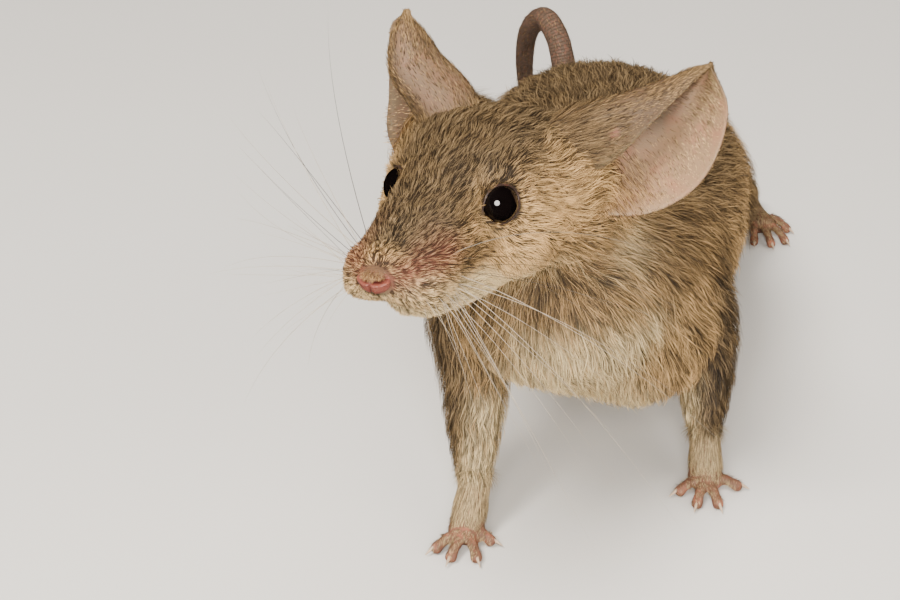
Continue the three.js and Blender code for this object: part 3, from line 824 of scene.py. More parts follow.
def lid_shell(way):
    """The margin of the eyelids: a thin ring round the eye's axis, drawn out a little at both corners."""
    centre, axis = eye_line(way)
    fore = unit(np.array([0, -1, -0.25]) + axis * (np.array([0, 1, 0.25]) @ axis))
    over = np.cross(axis, fore) * way
    rings, sides = 72, 12
    a = np.linspace(0, 2 * np.pi, rings, endpoint=False)[:, None]
    b = np.linspace(0, 2 * np.pi, sides, endpoint=False)[None]
    corner = 0.22 * np.abs(np.cos(a)) ** 7 * np.where(np.cos(a) > 0, 1, 0.5)
    reach = EYELID["margin"] + corner + (0.11 + 0.02 * np.sin(3 * a)) * np.cos(b)
    height = EYELID["margin_high"] - 0.9 * corner + 0.13 * np.sin(b) - 0.02 * np.sin(a)
    points = centre + fore * (reach * np.cos(a))[..., None] + over * (reach * np.sin(a))[..., None]
    points = points + axis * height[..., None]
    faces = grid_faces(rings + 1, sides) % (rings * sides)
    return from_head(points.reshape(-1, 3)), faces[:, ::-1] if way < 0 else faces


# ---------------------------------------------------------------- markings, shared by the skin and the coat
def read_rows(stations, axis, at, columns):
    """Columns of a form's rows, read between the rows by the place along an axis."""
    stations = stations[np.argsort(stations[:, axis])]
    return (np.interp(at, stations[:, axis], stations[:, k]) for k in columns)


def within(stations, points):
    """Where points lie in a form: aside and above its middle, as shares of its half width and its reach."""
    x0, z0, wide, up, down = read_rows(stations, 1, points[:, 1], (0, 2, 3, 4, 5))
    lift = points[:, 2] - z0
    return (points[:, 0] - x0) / wide, np.where(lift > 0, lift / up, lift / down)


def markings(points, weights):
    """Strength of each marking at points, from 0 to 1, given the share of trunk, neck, head and limbs there.

    cream: throat, breast, belly, lower lip, inner sides and ends of the limbs, spots by the eyes and ears.
    dark: crown and bridge. Nape, back and outer sides of the limbs: partly their own darker coat, partly painted
    shade. Front of the trunk: painted shade.
    warm: cheeks, neck and flanks. bare: thin coat over pink skin on the muzzle.
    """
    head = to_head(points)
    x, y, z = head.T
    blotch = ripple(points, 6.5)
    trunk_aside, trunk_above = within(TRUNK, points)
    neck_aside, neck_above = within(NECK, points)
    under = -trunk_above - 0.75 * np.abs(trunk_aside) ** 1.5 + 0.1 * blotch
    rear = step(4, 16, points[:, 1])
    cream = weights["trunk"] * step(blend(-0.05, 0.2, rear), blend(0.5, 0.6, rear), under)
    breast = step(6.8, 3.2, np.abs(points[:, 0] - 1.0) + 1.2 * blotch) * step(27, 23.5, points[:, 2])
    cream = np.maximum(cream, 0.9 * weights["trunk"] * breast * step(3, -3, points[:, 1]))
    throat = -neck_above - 0.7 * np.abs(neck_aside) ** 1.5 + 0.1 * blotch
    cream += weights["neck"] * step(-0.3, 0.25, throat) * step(7.0, 4.0, np.abs(x))
    lip = step(-1.9, -4.2, z + 0.35 * blotch + 0.3 * (y + 8)) * blend(0.45, 1, step(-11.5, -8, y))
    mirrored = np.stack([np.abs(x), y, z], -1)
    corner = bell(np.linalg.norm(mirrored - EYE_CORNER, axis=1), 0.7)
    cream += weights["head"] * np.maximum(lip, 0.5 * corner)
    cream += bell(np.linalg.norm(mirrored - EAR_SPOT, axis=1), 2.1)
    outer = 0
    for s, way in SIDES.items():
        limbs = (("arm", arm_forms(s), ARMS[s]["pale"], 0.9), ("leg", leg_forms(s), LEG_PALE, 0.6))
        for limb, forms, pale, darkness in limbs:
            inner = np.zeros(len(points))
            for stations in forms:
                middle, wide = read_rows(stations, 2, points[:, 2], (0, 3))
                inner = np.maximum(inner, step(*pale, -way * (points[:, 0] - middle) / wide))
            low = points[:, 2] + 0.8 * blotch
            own = weights[f"{s} {limb}"]
            cream += own * (0.95 * inner * step(15, 11.5, low) * step(3, 6, low) + 0.7 * step(6.5, 3.4, low))
            # outer sides of the limbs darker: partly their own coat, partly painted shade
            outer += own * (1 - inner) * darkness
    bridge = 1.6 * step(-2, -9, y)
    crown = step(0.2, 2.6 - 0.3 * bridge, z + bridge) * step(6.5, 3.2, np.abs(x)) * step(-12.4, -10.6, y)
    # back and nape darker: partly their own coat, partly painted shade
    saddle_and_shade = step(0.1, 0.75, trunk_above) * step(-7, 5, points[:, 1])
    nape = step(0.35, 0.9, neck_above)
    dark = weights["head"] * crown + weights["trunk"] * saddle_and_shade + weights["neck"] * nape + outer
    # painted shade on the front of the trunk
    dark = dark + 0.35 * weights["trunk"] * step(1, -5, points[:, 1])
    warm = weights["head"] * step(1.5, -1.5, z) * step(-6, 2, y)
    warm = warm + 0.5 * weights["trunk"] * step(0.5, -0.1, trunk_above)
    warm = warm + 0.35 * weights["neck"]
    pad = bell(z + 0.9 + 0.2 * blotch, 1.15) * step(-5.6, -8.2, y) * step(0.5, 1.6, np.abs(x))
    tip = step(-11.6, -12.8, y) * step(-2.4, -1.4, z)
    bare = weights["head"] * np.clip(pad + 0.25 * tip, 0, 1) * (1 - 0.8 * lip)
    return {name: np.clip(values, 0, 1) for name, values in zip(HIDE_MARKS, (cream, dark, warm, bare))}


class Hide:
    """The skin and what the coat needs to know at each of its points."""

    def __init__(self):
        points, self.quads = fused(rough_body(), BODY_VOXEL, 6)
        self.edges = neighbours(self.quads)
        face = step(12, 8, to_head(points)[:, 1])
        points = relaxed(points, self.edges, 10, 0.6 * (1 - 0.9 * face))
        points = carve_face(points)
        self.points = points
        self.normals = relaxed(point_normals(points, self.quads), self.edges, 2)
        self.read_flows()
        self.marks = markings(points, self.weights)
        self.table = SkinTable(self.points)

    def read_flows(self):
        """Blends the forms' values at each point: nearer forms count more, as exp(-9 * relative distance)."""
        samples = flows()
        middles, sizes = samples[:, PLACE], samples[:, SIZES].mean(1)
        number = samples[:, FORM].astype(int)
        kinds = number.max() + 1
        best = np.empty((kinds, len(self.points)))
        which = np.empty((kinds, len(self.points)), dtype=int)
        for kind in range(kinds):
            own = np.flatnonzero(number == kind)
            gap = np.linalg.norm(self.points[:, None] - middles[own], axis=2) / sizes[own]
            which[kind] = own[np.argmin(gap, 1)]
            best[kind] = gap.min(1)
        share = np.exp(-9 * (best - best.min(0)))
        share /= share.sum(0)
        self.coat_depth = np.sum(share * samples[which, COAT], 0)
        self.hair_length = np.sum(share * samples[which, HAIR], 0)
        way = np.sum(share[..., None] * samples[which, WAY], 0)
        self.weights = {part: share[list(forms)].sum(0) for part, forms in PARTS.items()}
        self.form = np.argmin(best, 0)
        own = which[self.form, np.arange(len(self.points))]
        self.along_form, self.middle = samples[own, ALONG], samples[own, PLACE]
        self.lie = self.comb(way)

    def comb(self, way):
        """The lie of the hair: along the forms, away from nose and eyes, up the ears, down chest and flanks."""
        head = to_head(self.points)
        nose = unit(head - (0, -13.6, -0.6)) @ HEAD_TURN.T
        muzzle = (step(6, -8, head[:, 1]) * self.weights["head"])[:, None]
        way = blend(way, nose, muzzle)
        facing = np.maximum(-self.normals[:, 1], 0)
        body = self.weights["trunk"] + 0.8 * self.weights["neck"]
        flank = np.abs(self.normals[:, 0])
        sag = body * (0.25 + 0.55 * flank + 1.6 * facing)
        sag = sag + 0.25 * self.weights["head"] * flank * step(-4, 6, head[:, 1])
        way = way - np.outer(sag, (0, 0, 1))
        self.by_ear = np.zeros(len(self.points))
        for s, side in SIDES.items():
            reach, out = around_eye(head, side)
            way = way + (1.5 * bell(np.maximum(reach - 1.6, 0), 1.1))[:, None] * (out @ HEAD_TURN.T)
            base = np.array(EAR_BASE) * (side, 1, 1)
            line = base[1] - base[0]
            t = np.clip((head - base[0]) @ line / dot(line, line), 0, 1)
            gap = np.linalg.norm(head - base[0] - t[:, None] * line, axis=1)
            rising = unit(np.asarray(EARS[s]["axis"], float)) @ HEAD_TURN.T
            way = blend(way, rising, (0.75 * bell(gap, 3.6))[:, None])
            self.by_ear = np.maximum(self.by_ear, bell(gap, 2.6))
        return laid(relaxed(way, self.edges, 12), self.normals)


class SkinTable:
    """Finds the skin point nearest a place: each cell of a grid holds the nearest among its neighbours' points."""

    def __init__(self, points, cell=0.7, reach=5):
        self.cell = cell
        self.low = points.min(0) - (reach + 1) * cell
        self.shape = np.ceil((points.max(0) - self.low) / cell).astype(int) + reach + 2
        held = np.full(self.shape, -1)
        spots = self.cells(points)
        held[spots[:, 0], spots[:, 1], spots[:, 2]] = np.arange(len(points))
        centres = self.low + (np.indices(self.shape).reshape(3, -1).T + 0.5) * cell
        held = held.ravel()
        strides = (self.shape[1] * self.shape[2], self.shape[2], 1)
        gap = np.where(held < 0, np.inf, np.linalg.norm(centres - points[held], axis=1))
        for _ in range(reach):
            for stride in strides:
                for shift in (stride, -stride):
                    other = np.roll(held, shift)
                    known = np.flatnonzero(other >= 0)
                    far = np.linalg.norm(centres[known] - points[other[known]], axis=1)
                    nearer = far < gap[known]
                    held[known[nearer]] = other[known[nearer]]
                    gap[known[nearer]] = far[nearer]
        self.held = np.maximum(held, 0).reshape(self.shape)

    def cells(self, places):
        """The cell of each place."""
        spots = ((places - self.low) / self.cell).astype(int)
        return np.clip(spots, 0, self.shape - 1)

    def nearest(self, places):
        """The number of the skin point that each place's cell holds."""
        spots = self.cells(places)
        return self.held[spots[:, 0], spots[:, 1], spots[:, 2]]


@functools.cache
def hide():
    """The one hide, made when it is first asked for."""
    return Hide()


# ---------------------------------------------------------------- materials
class Wire:
    """A socket in a material. Sums, differences and products of wires add Math nodes."""

    def __init__(self, shades, socket):
        self.shades, self.socket = shades, socket

    def _with(self, operation, first, second):
        return self.shades.node("ShaderNodeMath", {"operation": operation}, {0: first, 1: second})

    def __add__(self, other):
        return self._with("ADD", self, other)

    __radd__ = __add__

    def __sub__(self, other):
        return self._with("SUBTRACT", self, other)

    def __rsub__(self, other):
        return self._with("SUBTRACT", other, self)

    def __mul__(self, other):
        return self._with("MULTIPLY", self, other)

    __rmul__ = __mul__


class Shades:
    """A material in the making: constants go on the shader's own sockets, and wires into those that vary."""

    def __init__(self, name, **constants):
        self.material = bpy.data.materials.new(name)
        self.material.use_nodes = True
        self.tree = self.material.node_tree
        self.surface = self.tree.nodes["Principled BSDF"]
        for socket, value in constants.items():
            self.surface.inputs[socket.replace("_", " ")].default_value = value

    def node(self, kind, settings=None, sockets=None, out=0):
        """Any node: its settings first, then the values or wires of its sockets. Gives one of its outputs."""
        made = self.tree.nodes.new(kind)
        for key, value in (settings or {}).items():
            setattr(made, key, value)
        for key, value in (sockets or {}).items():
            if isinstance(value, Wire):
                self.tree.links.new(value.socket, made.inputs[key])
            else:
                made.inputs[key].default_value = value
        return Wire(self, made.outputs[out])

    def mark(self, name):
        """A mark on the piece's points, as a value."""
        return self.node("ShaderNodeAttribute", {"attribute_name": name}, out=2)

    def marks(self, *names):
        """Several marks, as values."""
        return [self.mark(name) for name in names]

    def mix(self, a, b, share, blend_type="MIX"):
        """Colour a with a share of colour b, or of their product."""
        settings = {"data_type": "RGBA", "blend_type": blend_type}
        return self.node("ShaderNodeMix", settings, {0: share, 6: a, 7: b}, out=2)

    def rise(self, value, low, high):
        """A smooth rise of a value from 0 at low to 1 at high."""
        settings = {"interpolation_type": "SMOOTHSTEP"}
        return self.node("ShaderNodeMapRange", settings, {0: value, 1: low, 2: high, 3: 0.0, 4: 1.0})

    def noise(self, size, detail=2.0, stretch=(1, 1, 1)):
        """Uneven values from about 0 to 1 whose patches are size millimetres across."""
        place = self.node("ShaderNodeTexCoord", out=3)
        scale = tuple(c / (size * MM) for c in stretch)
        scaled = self.node("ShaderNodeMapping", sockets={"Vector": place, "Scale": scale})
        return self.node("ShaderNodeTexNoise", sockets={"Vector": scaled, "Scale": 1.0, "Detail": detail})

    def bumped(self, height, depth):
        """A Bump of the height's full swing in millimetres, fed to Normal."""
        sockets = {"Strength": 1.0, "Distance": depth * MM, "Height": height}
        self.feed(Normal=self.node("ShaderNodeBump", sockets=sockets))

    def feed(self, **wires):
        """Wires into the shader's own sockets. Gives the material."""
        for socket, wire in wires.items():
            self.tree.links.new(wire.socket, self.surface.inputs[socket.replace("_", " ")])
        return self.material


def rgba(colour, share=1.0):
    """A colour, darkened to a share of itself, with its alpha."""
    return (*(share * c for c in colour[:3]), 1.0)


def coat_material(colours):
    """Hairs grey at the root and banded in straw near the tip, with dark guard hairs; cream ones stay pale."""
    m = Shades("coat", Roughness=0.62, Specular_IOR_Level=0.28)
    along, tone = m.marks("along", "tone")
    cream, dark, warm, bare = m.marks(*HIDE_MARKS)
    patches = m.noise(3.2)
    band = m.mix(rgba(colours.band), rgba(colours.cheek), warm)
    # dark greys the band: the coat's own darker parts, and painted shade on back, nape, outer limbs and front of
    # the trunk
    band = m.mix(band, rgba(colours.crown), dark * 0.9)
    band = m.mix(band, rgba(colours.band, 0.45), m.rise(patches, 0.45, 0.75) * 0.55)
    band = m.mix(band, rgba(colours.muzzle), bare * 0.75)
    root = m.mix(rgba(colours.under), rgba(colours.skin, 0.24), bare)
    guard = m.rise(tone, 0.78, 0.92)
    banding = m.rise(along, 0.22, 0.6) * (0.35 + 0.65 * m.rise(tone, 0.12, 0.5)) * (1 - 0.86 * guard)
    grey = m.mix(root, band, banding)
    grey = m.mix(grey, rgba(colours.under, 0.8), m.rise(along, 0.86, 1.0) * 0.5)
    pale = m.mix(rgba(colours.belly, 0.3), rgba(colours.belly), m.rise(along, 0.15, 0.7))
    hair = m.mix(grey, pale, cream)
    # dark also lowers each hair's brightness, and with it carries the painted shade of the dark mark
    low = m.mix(rgba((0.34, 0.31, 0.28)), rgba((0.24, 0.23, 0.21)), dark)
    high = m.mix(rgba((1.75, 1.70, 1.58)), rgba((1.35, 1.32, 1.24)), dark)
    shade = m.mix(low, high, m.rise(tone, 0.0, TOP_TONE))
    return m.feed(Base_Color=m.mix(hair, shade, 1.0, "MULTIPLY"))


def hide_material(colours):
    """Skin under the coat: dark as the hair's roots, pale under cream hair, and pink where the coat is thin."""
    m = Shades("hide", Roughness=0.7, Specular_IOR_Level=0.25)
    cream, bare = m.marks("cream", "bare")
    blotch = m.noise(2.2)
    fur = m.mix(rgba(colours.under), rgba(colours.band, 0.6), blotch * 0.6)
    fur = m.mix(fur, rgba(colours.belly, 0.55), cream)
    pink = m.mix(rgba(colours.skin, 0.22), rgba(colours.skin, 0.4), m.rise(blotch, 0.3, 0.7))
    m.bumped(m.noise(0.5, 3.0), 0.08)
    return m.feed(Base_Color=m.mix(fur, pink, bare))


def ear_material(colours):
    """Thin skin: pink-tan, redder towards the root, with a pale rim and a hairy base; the fold mark paints shadow.
    """
    thin = {"Subsurface_Weight": 0.12, "Subsurface_Scale": 0.0006}
    m = Shades("ear skin", Roughness=0.55, Specular_IOR_Level=0.3, **thin)
    rim, deep, fold, hollow, furred = m.marks(*EAR_MARKS)
    veins = m.noise(1.6, 4.0)
    ear = m.mix(rgba(colours.ear, 0.38), rgba(colours.ear), hollow)
    ear = m.mix(ear, rgba(colours.skin, 0.6), m.rise(veins, 0.42, 0.7) * 0.4 * hollow)
    ear = m.mix(ear, rgba(colours.skin, 0.8), m.rise(deep, 0.25, 1.0) * 0.8)
    # painted shadow: dark where the fold mark lies, beside the front flap, in the crease and at a shaded root
    ear = m.mix(ear, rgba(colours.under, 1.5), fold * 0.75)
    ear = m.mix(ear, rgba(colours.band, 0.45), furred)
    ear = m.mix(ear, rgba(colours.belly, 0.6), m.rise(rim, 0.3, 1.0) * 0.2)
    m.bumped(m.noise(0.22, 2.0, (1, 1, 2.2)), 0.05)
    return m.feed(Base_Color=ear)


def foot_material(colours):
    """Bare pink feet with fine creases, redder in uneven patches."""
    thin = {"Subsurface_Weight": 0.2, "Subsurface_Scale": 0.0005}
    m = Shades("foot skin", Roughness=0.5, Specular_IOR_Level=0.35, **thin)
    creases = m.noise(0.28, 3.0, (1, 1, 1.6))
    foot = m.mix(rgba(colours.foot), rgba(colours.skin), m.rise(m.noise(1.3), 0.45, 0.75) * 0.6)
    foot = m.mix(foot, rgba(colours.foot, 0.6), m.rise(creases, 0.5, 0.8) * 0.4)
    m.bumped(creases, 0.06)
    return m.feed(Base_Color=foot)


def tail_material(colours):
    """Scale rings along the tail: a saw-toothed wave of its length, cut into scales by a fine noise."""
    m = Shades("tail skin", Roughness=0.55, Specular_IOR_Level=0.35)
    saw = m.node("ShaderNodeMath", {"operation": "FRACT"}, {0: m.mark("ring")})
    scales = m.noise(0.34)
    edge = m.rise(saw, 0.55, 0.95)
    tail = m.mix(rgba(colours.tail), rgba(colours.tail, 0.45), edge * 0.75)
    tail = m.mix(tail, rgba(colours.skin, 0.6), m.rise(scales, 0.45, 0.7) * 0.3)
    m.bumped((1 - edge) * 0.7 + scales * 0.3, 0.07)
    return m.feed(Base_Color=tail)


def lid_material(colours):
    """The dark, slightly moist margin of the eyelids, with pink in its grain."""
    m = Shades("eyelid", Roughness=0.4, Specular_IOR_Level=0.45)
    grain = m.noise(0.3)
    m.bumped(grain, 0.04)
    return m.feed(Base_Color=m.mix(rgba(colours.lid), rgba(colours.skin, 0.2), m.rise(grain, 0.45, 0.7) * 0.5))


def nose_material(colours):
    """Moist pink skin with a fine pebbled grain, tan and dry on top; nostrils, slits and cleft red, with painted
    shade.
    """
    thin = {"Subsurface_Weight": 0.15, "Subsurface_Scale": 0.0004}
    m = Shades("nose", Roughness=0.4, Specular_IOR_Level=0.5, **thin)
    pit, top = m.marks("pit", "top")
    grain = m.noise(0.16)
    nose = m.mix(rgba(colours.nose), rgba(colours.skin, 0.42), m.rise(grain, 0.4, 0.7) * 0.3)
    nose = m.mix(nose, rgba(colours.muzzle, 0.7), top)
    # painted shade: the pits take the dark red of the nostrils
    nose = m.mix(nose, rgba(colours.nostril), m.rise(pit, 0.1, 0.9))
    m.bumped(grain, 0.09)
    return m.feed(Base_Color=nose)


def eye_material(colours):
    """A black eye, faintly brown in patches, under a wet clear surface."""
    m = Shades("eye", Roughness=0.05, Specular_IOR_Level=0.5)
    return m.feed(Base_Color=m.mix(rgba(colours.eye), rgba(colours.eye, 2.5), m.noise(0.9)))


def claw_material(colours):
    """Pale horn, streaked, pinker at the root where the quick shows."""
    m = Shades("claw", Roughness=0.35, Specular_IOR_Level=0.5)
    streaks = m.noise(0.18, 2.0, (1, 1, 3))
    horn = m.mix(rgba(colours.claw), rgba(colours.skin), m.rise(m.mark("along"), 0.5, 0.0) * 0.6)
    m.bumped(streaks, 0.02)
    return m.feed(Base_Color=m.mix(horn, rgba(colours.claw, 0.6), m.rise(streaks, 0.45, 0.75) * 0.5))


def whisker_material(colours):
    """Smooth hair, dark or pale by its tone and always paler at its tip."""
    m = Shades("whisker", Roughness=0.35, Specular_IOR_Level=0.5)
    hair = m.mix(rgba(colours.whisker), rgba(colours.under, 0.6), m.rise(m.mark("tone"), 0.45, 0.55))
    return m.feed(Base_Color=m.mix(hair, rgba(colours.whisker), m.rise(m.mark("along"), 0.5, 1.0) * 0.6))


def floor_material():
    """A pale plain floor, barely uneven."""
    m = Shades("floor", Roughness=0.85, Specular_IOR_Level=0.2)
    return m.feed(Base_Color=m.mix(rgba((0.62, 0.60, 0.57)), rgba((0.66, 0.64, 0.61)), m.noise(60.0, 3.0)))


# ---------------------------------------------------------------- skin, nose, eyes and claws
def halved(quads):
    """Quads cut into triangles along a diagonal."""
    return np.vstack([quads[:, [0, 1, 2]], quads[:, [0, 2, 3]]])


def flap_shadow(u, w):
    """Strength of the painted shadow of the front flap on the hollow beside it, narrower towards the tip, from 0 to
    1.
    """
    return step(0.26, 0.0, w - blend(0.56, -0.2, u)) * step(0.25, 0.5, u) * step(1.0, 0.9, u)


def ear_crease(u, w):
    """A small bare fold of the outer wall by the front edge, from 0 to 1."""
    return bell(u - EAR_CREASE["height"], 0.035) * bell(w - EAR_CREASE["aside"], 0.09)


def ear_marks(s):
    """Marks over an ear's shell, each on its inner and on its outer wall.

    rim: towards its edge. deep: red, in the hollow by its root and in the crease. fold: painted shadow, in the
    hollow
    beside the front flap, in the crease and at the root of a shaded ear. hollow: the pale skin of the hollow.
    furred:
    hairy at the root.
    """
    u, w = ear_grid()
    u, w = u[:, None], w[None]
    crest = EAR["fold_at"]
    rim = np.maximum(step(0.88, 1.0, np.abs(w)), step(0.95, 1, u))
    deep = step(0.55, 0.05, u) * bell(w - 0.15, 0.5)
    # painted shadow: beside the front flap, and at the root of an ear whose base lies in shade
    fold = np.maximum(flap_shadow(u, w), EARS[s]["shadow"] * step(0.75, 0.35, u))
    crease = ear_crease(u, w)
    bowl = step(crest - 0.04, crest + 0.04, w) + 0 * u
    walls = (
        (rim, rim),
        (deep, crease),
        # painted shade in the crease of the outer wall
        (fold, 0.55 * crease),
        (bowl, EARS[s]["pale"] * bowl),
        (step(0.16, 0.02, u) + 0 * w, step(0.45, 0.15, u) * (1 - crease)),
    )
    marks = {}
    for name, (inner, outer) in zip(EAR_MARKS, walls):
        ring = ear_rings(s, inner, outer)
        marks[name] = np.concatenate([ring.ravel(), [ring[0].mean(), ring[-1].mean()]])
    return marks


def add_skin(colours):
    """One skin over the whole animal: hide, ears, feet, tail and lids in one mesh, each with its finish."""
    body = hide()
    parts = [(body.points, halved(body.quads), HIDE, body.marks)]
    for s, way in SIDES.items():
        parts.append((*ear_shell(s), EAR_SKIN, ear_marks(s)))
        parts.append((*lid_shell(way), LID_SKIN, {}))
        for hind in (False, True):
            points, quads = foot_shell(s, hind)
            parts.append((points, halved(quads), FOOT_SKIN, {}))
    points, faces, share = tail_shell()
    parts.append((points, faces, TAIL_SKIN, {"ring": share * TAIL["scale_rings"]}))
    points, faces = together([part[:2] for part in parts])
    marks = {}
    for name in (*HIDE_MARKS, *EAR_MARKS, "ring"):
        marks[name] = np.concatenate([part[3].get(name, np.zeros(len(part[0]))) for part in parts])
    skin = new_piece("skin", points, faces, hide_material(colours), FLESH, marks)
    for material in (ear_material, foot_material, tail_material, lid_material):
        skin.data.materials.append(material(colours))
    finish = np.concatenate([np.full(len(part[1]), part[2]) for part in parts])
    skin.data.polygons.foreach_set("material_index", finish.astype(np.int32))


def nose_slit(aside, z):
    """How far directions on the nose pad are from its slit, and the slit's height at their distance aside."""
    line = 0.36 + 0.5 * np.maximum(aside - 0.3, 0) ** 2
    beyond = np.maximum(aside - 0.86, 0) + np.maximum(0.26 - aside, 0)
    return np.hypot(z - line, beyond), line


def nose_shell():
    """An oval pad, pushed in along a curved slit on each side, with a fold round it, and a cleft on the midline.

    Its radius is 1 - 0.42 slit + 0.1 fold - 0.16 cleft, over directions of latitude and longitude.
    """
    lat = np.linspace(0.02 * np.pi, 0.98 * np.pi, 64)[:, None]
    lon = np.linspace(0, 2 * np.pi, 96, endpoint=False)[None]
    way = np.stack([np.sin(lat) * np.cos(lon), np.sin(lat) * np.sin(lon), np.cos(lat) + 0 * lon], -1)
    aside, ahead, z = np.abs(way[..., 0]), -way[..., 1], way[..., 2]
    gap, line = nose_slit(aside, z)
    gap = gap + 2 * np.maximum(-ahead, 0)
    slit = bell(gap, 0.2)
    fold = bell(gap - 0.36, 0.14) * step(-0.3, 0.2, ahead) * step(0.2, -0.1, z - line)
    cleft = bell(way[..., 0], 0.12) * step(0.35, 0.05, z) * step(0, 0.4, ahead)
    radius = 1 - 0.42 * slit + 0.1 * fold - 0.16 * cleft
    points, faces = closed(np.asarray(NOSE["at"]) + way * radius[..., None] * np.asarray(NOSE["size"]))
    # pit: where red skin is darkened as painted shade, in the slits and the cleft
    pit = np.concatenate([np.maximum(slit, 0.6 * cleft).ravel(), [0, 0]])
    top = np.concatenate([step(0.2, 0.42, z - line).ravel(), [1, 0]])
    return from_head(points), faces, {"pit": pit, "top": top}


def add_nose(colours):
    """The nose pad, with its pits and its dry top marked."""
    points, faces, marks = nose_shell()
    new_piece("nose_pad", points, faces, nose_material(colours), ["nose"], marks)


def add_eyes(sizes, colours):
    """Both eyeballs."""
    radius = sizes.eye_radius / MM
    material = eye_material(colours)
    for s, way in SIDES.items():
        points, faces = ball((EYE_ASIDE * way, 0, 0), (radius, radius, radius), rows=48, columns=72)
        new_piece(f"eyeball_{s}", from_head(points), faces, material, [f"eye_{s}"])


def claw_shell(root, direction, long):
    """A claw: a horn along a curve that drops as t^1.8, thinning as (1 - t)^0.8, with each point's t."""
    t = np.linspace(0, 1, 10)
    sides = 8
    reach = long - 0.12 + CLAW["long"] * t
    drop = CLAW["high"] - (CLAW["high"] - CLAW["low"]) * t**1.8
    path = np.array([*root[:2], 0]) + direction * reach[:, None] + np.outer(drop, (0, 0, 1))
    girth = CLAW["tip"] + (CLAW["root"] - CLAW["tip"]) * (1 - t) ** 0.8
    sizes = np.column_stack([0.75 * girth, girth, girth])
    shell = tube(path, sizes, sides=sides, side=np.cross(direction, (0, 0, 1)), rings=10, dome=3)
    along = np.concatenate([np.repeat(np.linspace(0, 1, len(shell)), sides), [0, 1]])
    return *closed(shell), along


def add_claws(colours):
    """The claws of all four feet."""
    shells, names = [], []
    for s in SIDES:
        for kind, numbers in (("fore", range(2, 6)), ("hind", range(1, 6))):
            shells += [claw_shell(*line) for line in digit_lines(s, kind == "hind")]
            names += [f"claw_{kind}_{s}_{n}" for n in numbers]
    points, faces = together([shell[:2] for shell in shells])
    along = np.concatenate([shell[2] for shell in shells])
    new_piece("claws", points, faces, claw_material(colours), names, {"along": along})


# ---------------------------------------------------------------- coat
class Tufts:
    """Blades of one piece of the coat, gathered batch by batch, and then made into one mesh."""

    def __init__(self):
        self.points, self.values, self.uv = [], [], []

    def add(self, keep, spine, normals, width, roll, values, patch):
        """Flat tapering blades about the spines to keep: two edge points at each station and one at the tip.

        An edge point is spine +- width / 2 * swell * (across * cos roll + normal * sin roll), with across at a
        right angle to the blade's way and its normal.
        """
        spine, normals, width, roll = spine[keep], normals[keep], width[keep], roll[keep]
        ways = unit(np.diff(spine, axis=1))
        across = unit(np.cross(ways, normals[:, :-1]))
        tilted = across * np.cos(roll)[:, None, None] + normals[:, :-1] * np.sin(roll)[:, None, None]
        swell = np.interp(np.arange(STATIONS - 1) / (STATIONS - 1), (0, 0.3, 0.7, 1), (0.7, 1.0, 0.7, 0.1))
        half = tilted * (0.5 * width[:, None] * swell)[..., None]
        edges = np.stack([spine[:, :-1] - half, spine[:, :-1] + half], 2).reshape(len(spine), -1, 3)
        self.points.append(np.concatenate([edges, spine[:, -1:]], 1))
        self.values.append({name: value[keep] for name, value in values.items()})
        self.uv.append(patch[keep])

    def make(self, name, material):
        """The piece: rungs of two triangles along each blade and one at its tip, and each blade's patch."""
        points = np.concatenate(self.points)
        count, per = points.shape[:2]
        rung = np.arange(STATIONS - 2) * 2
        rungs = [np.stack([rung, rung + 1, rung + 2], -1), np.stack([rung + 1, rung + 3, rung + 2], -1)]
        blade = np.vstack([*rungs, [(per - 3, per - 2, per - 1)]])
        faces = (np.arange(count)[:, None, None] * per + blade).reshape(-1, 3)
        along = np.append(np.repeat(np.linspace(0, 1, STATIONS)[:-1], 2), 1)
        marks = {"along": np.tile(along, count)}
        for key in self.values[0]:
            marks[key] = np.repeat(np.concatenate([v[key] for v in self.values]), per)
        side = np.append(np.tile((-0.5, 0.5), STATIONS - 1), 0)
        spread = PATCH * np.column_stack([side, along - 0.5])
        uv = (np.concatenate(self.uv)[:, None] + spread).reshape(-1, 2)
        new_piece(name, points.reshape(-1, 3), faces, material, marks=marks, uv=uv)


def unwrapped(skin, spots, points):
    """Places on an unwrap of the hide: a cell for each form, its length across and the turn about it up."""
    number, along = skin.form[spots], skin.along_form[spots]
    x, y, z = (points - skin.middle[spots]).T
    turn = np.where(number <= HEAD_FORM, np.arctan2(x, z), np.arctan2(x, y)) / (2 * np.pi) + 0.5
    column, row = number % 4, number // 4
    return np.column_stack([(column + 0.04 + 0.92 * along) / 4, (row + 0.04 + 0.92 * turn) / 4])


def rooted(skin, weight, count, rng):
    """Roots over the hide by area and weight, each with its nearest point, its quad and its corners' shares."""
    odds = quad_areas(skin.points, skin.quads) * weight[skin.quads].mean(1)
    q, a, b = scattered(skin.quads, odds, count, rng)
    shares = np.concatenate([(1 - a) * (1 - b), a * (1 - b), a * b, (1 - a) * b], 1)
    points = np.sum(skin.points[q] * shares[..., None], 1)
    return points, q[np.arange(count), np.argmax(shares, 1)], q, shares


def grown(skin, roots, spots, length, depth, stray):
    """Spines that creep over the skin: each step follows the lie, turned by stray, and rises as sin."""
    place = roots - 0.06 * skin.normals[spots]
    spine, normals = [place], [skin.normals[spots]]
    for share in np.arange(1, STATIONS) / (STATIONS - 1):
        n, lie = skin.normals[spots], skin.lie[spots]
        bend = stray * (0.6 + 0.4 * share)
        way = lie * np.cos(bend)[:, None] + np.cross(n, lie) * np.sin(bend)[:, None]
        place = place + way * (length / (STATIONS - 1))[:, None]
        spots = skin.table.nearest(place)
        n = skin.normals[spots]
        goal = depth * np.sin(0.5 * np.pi * share**0.8)
        place = place + n * (goal - dot(place - skin.points[spots], n))[:, None]
        spine.append(place)
        normals.append(n)
    return np.stack(spine, 1), np.stack(normals, 1)


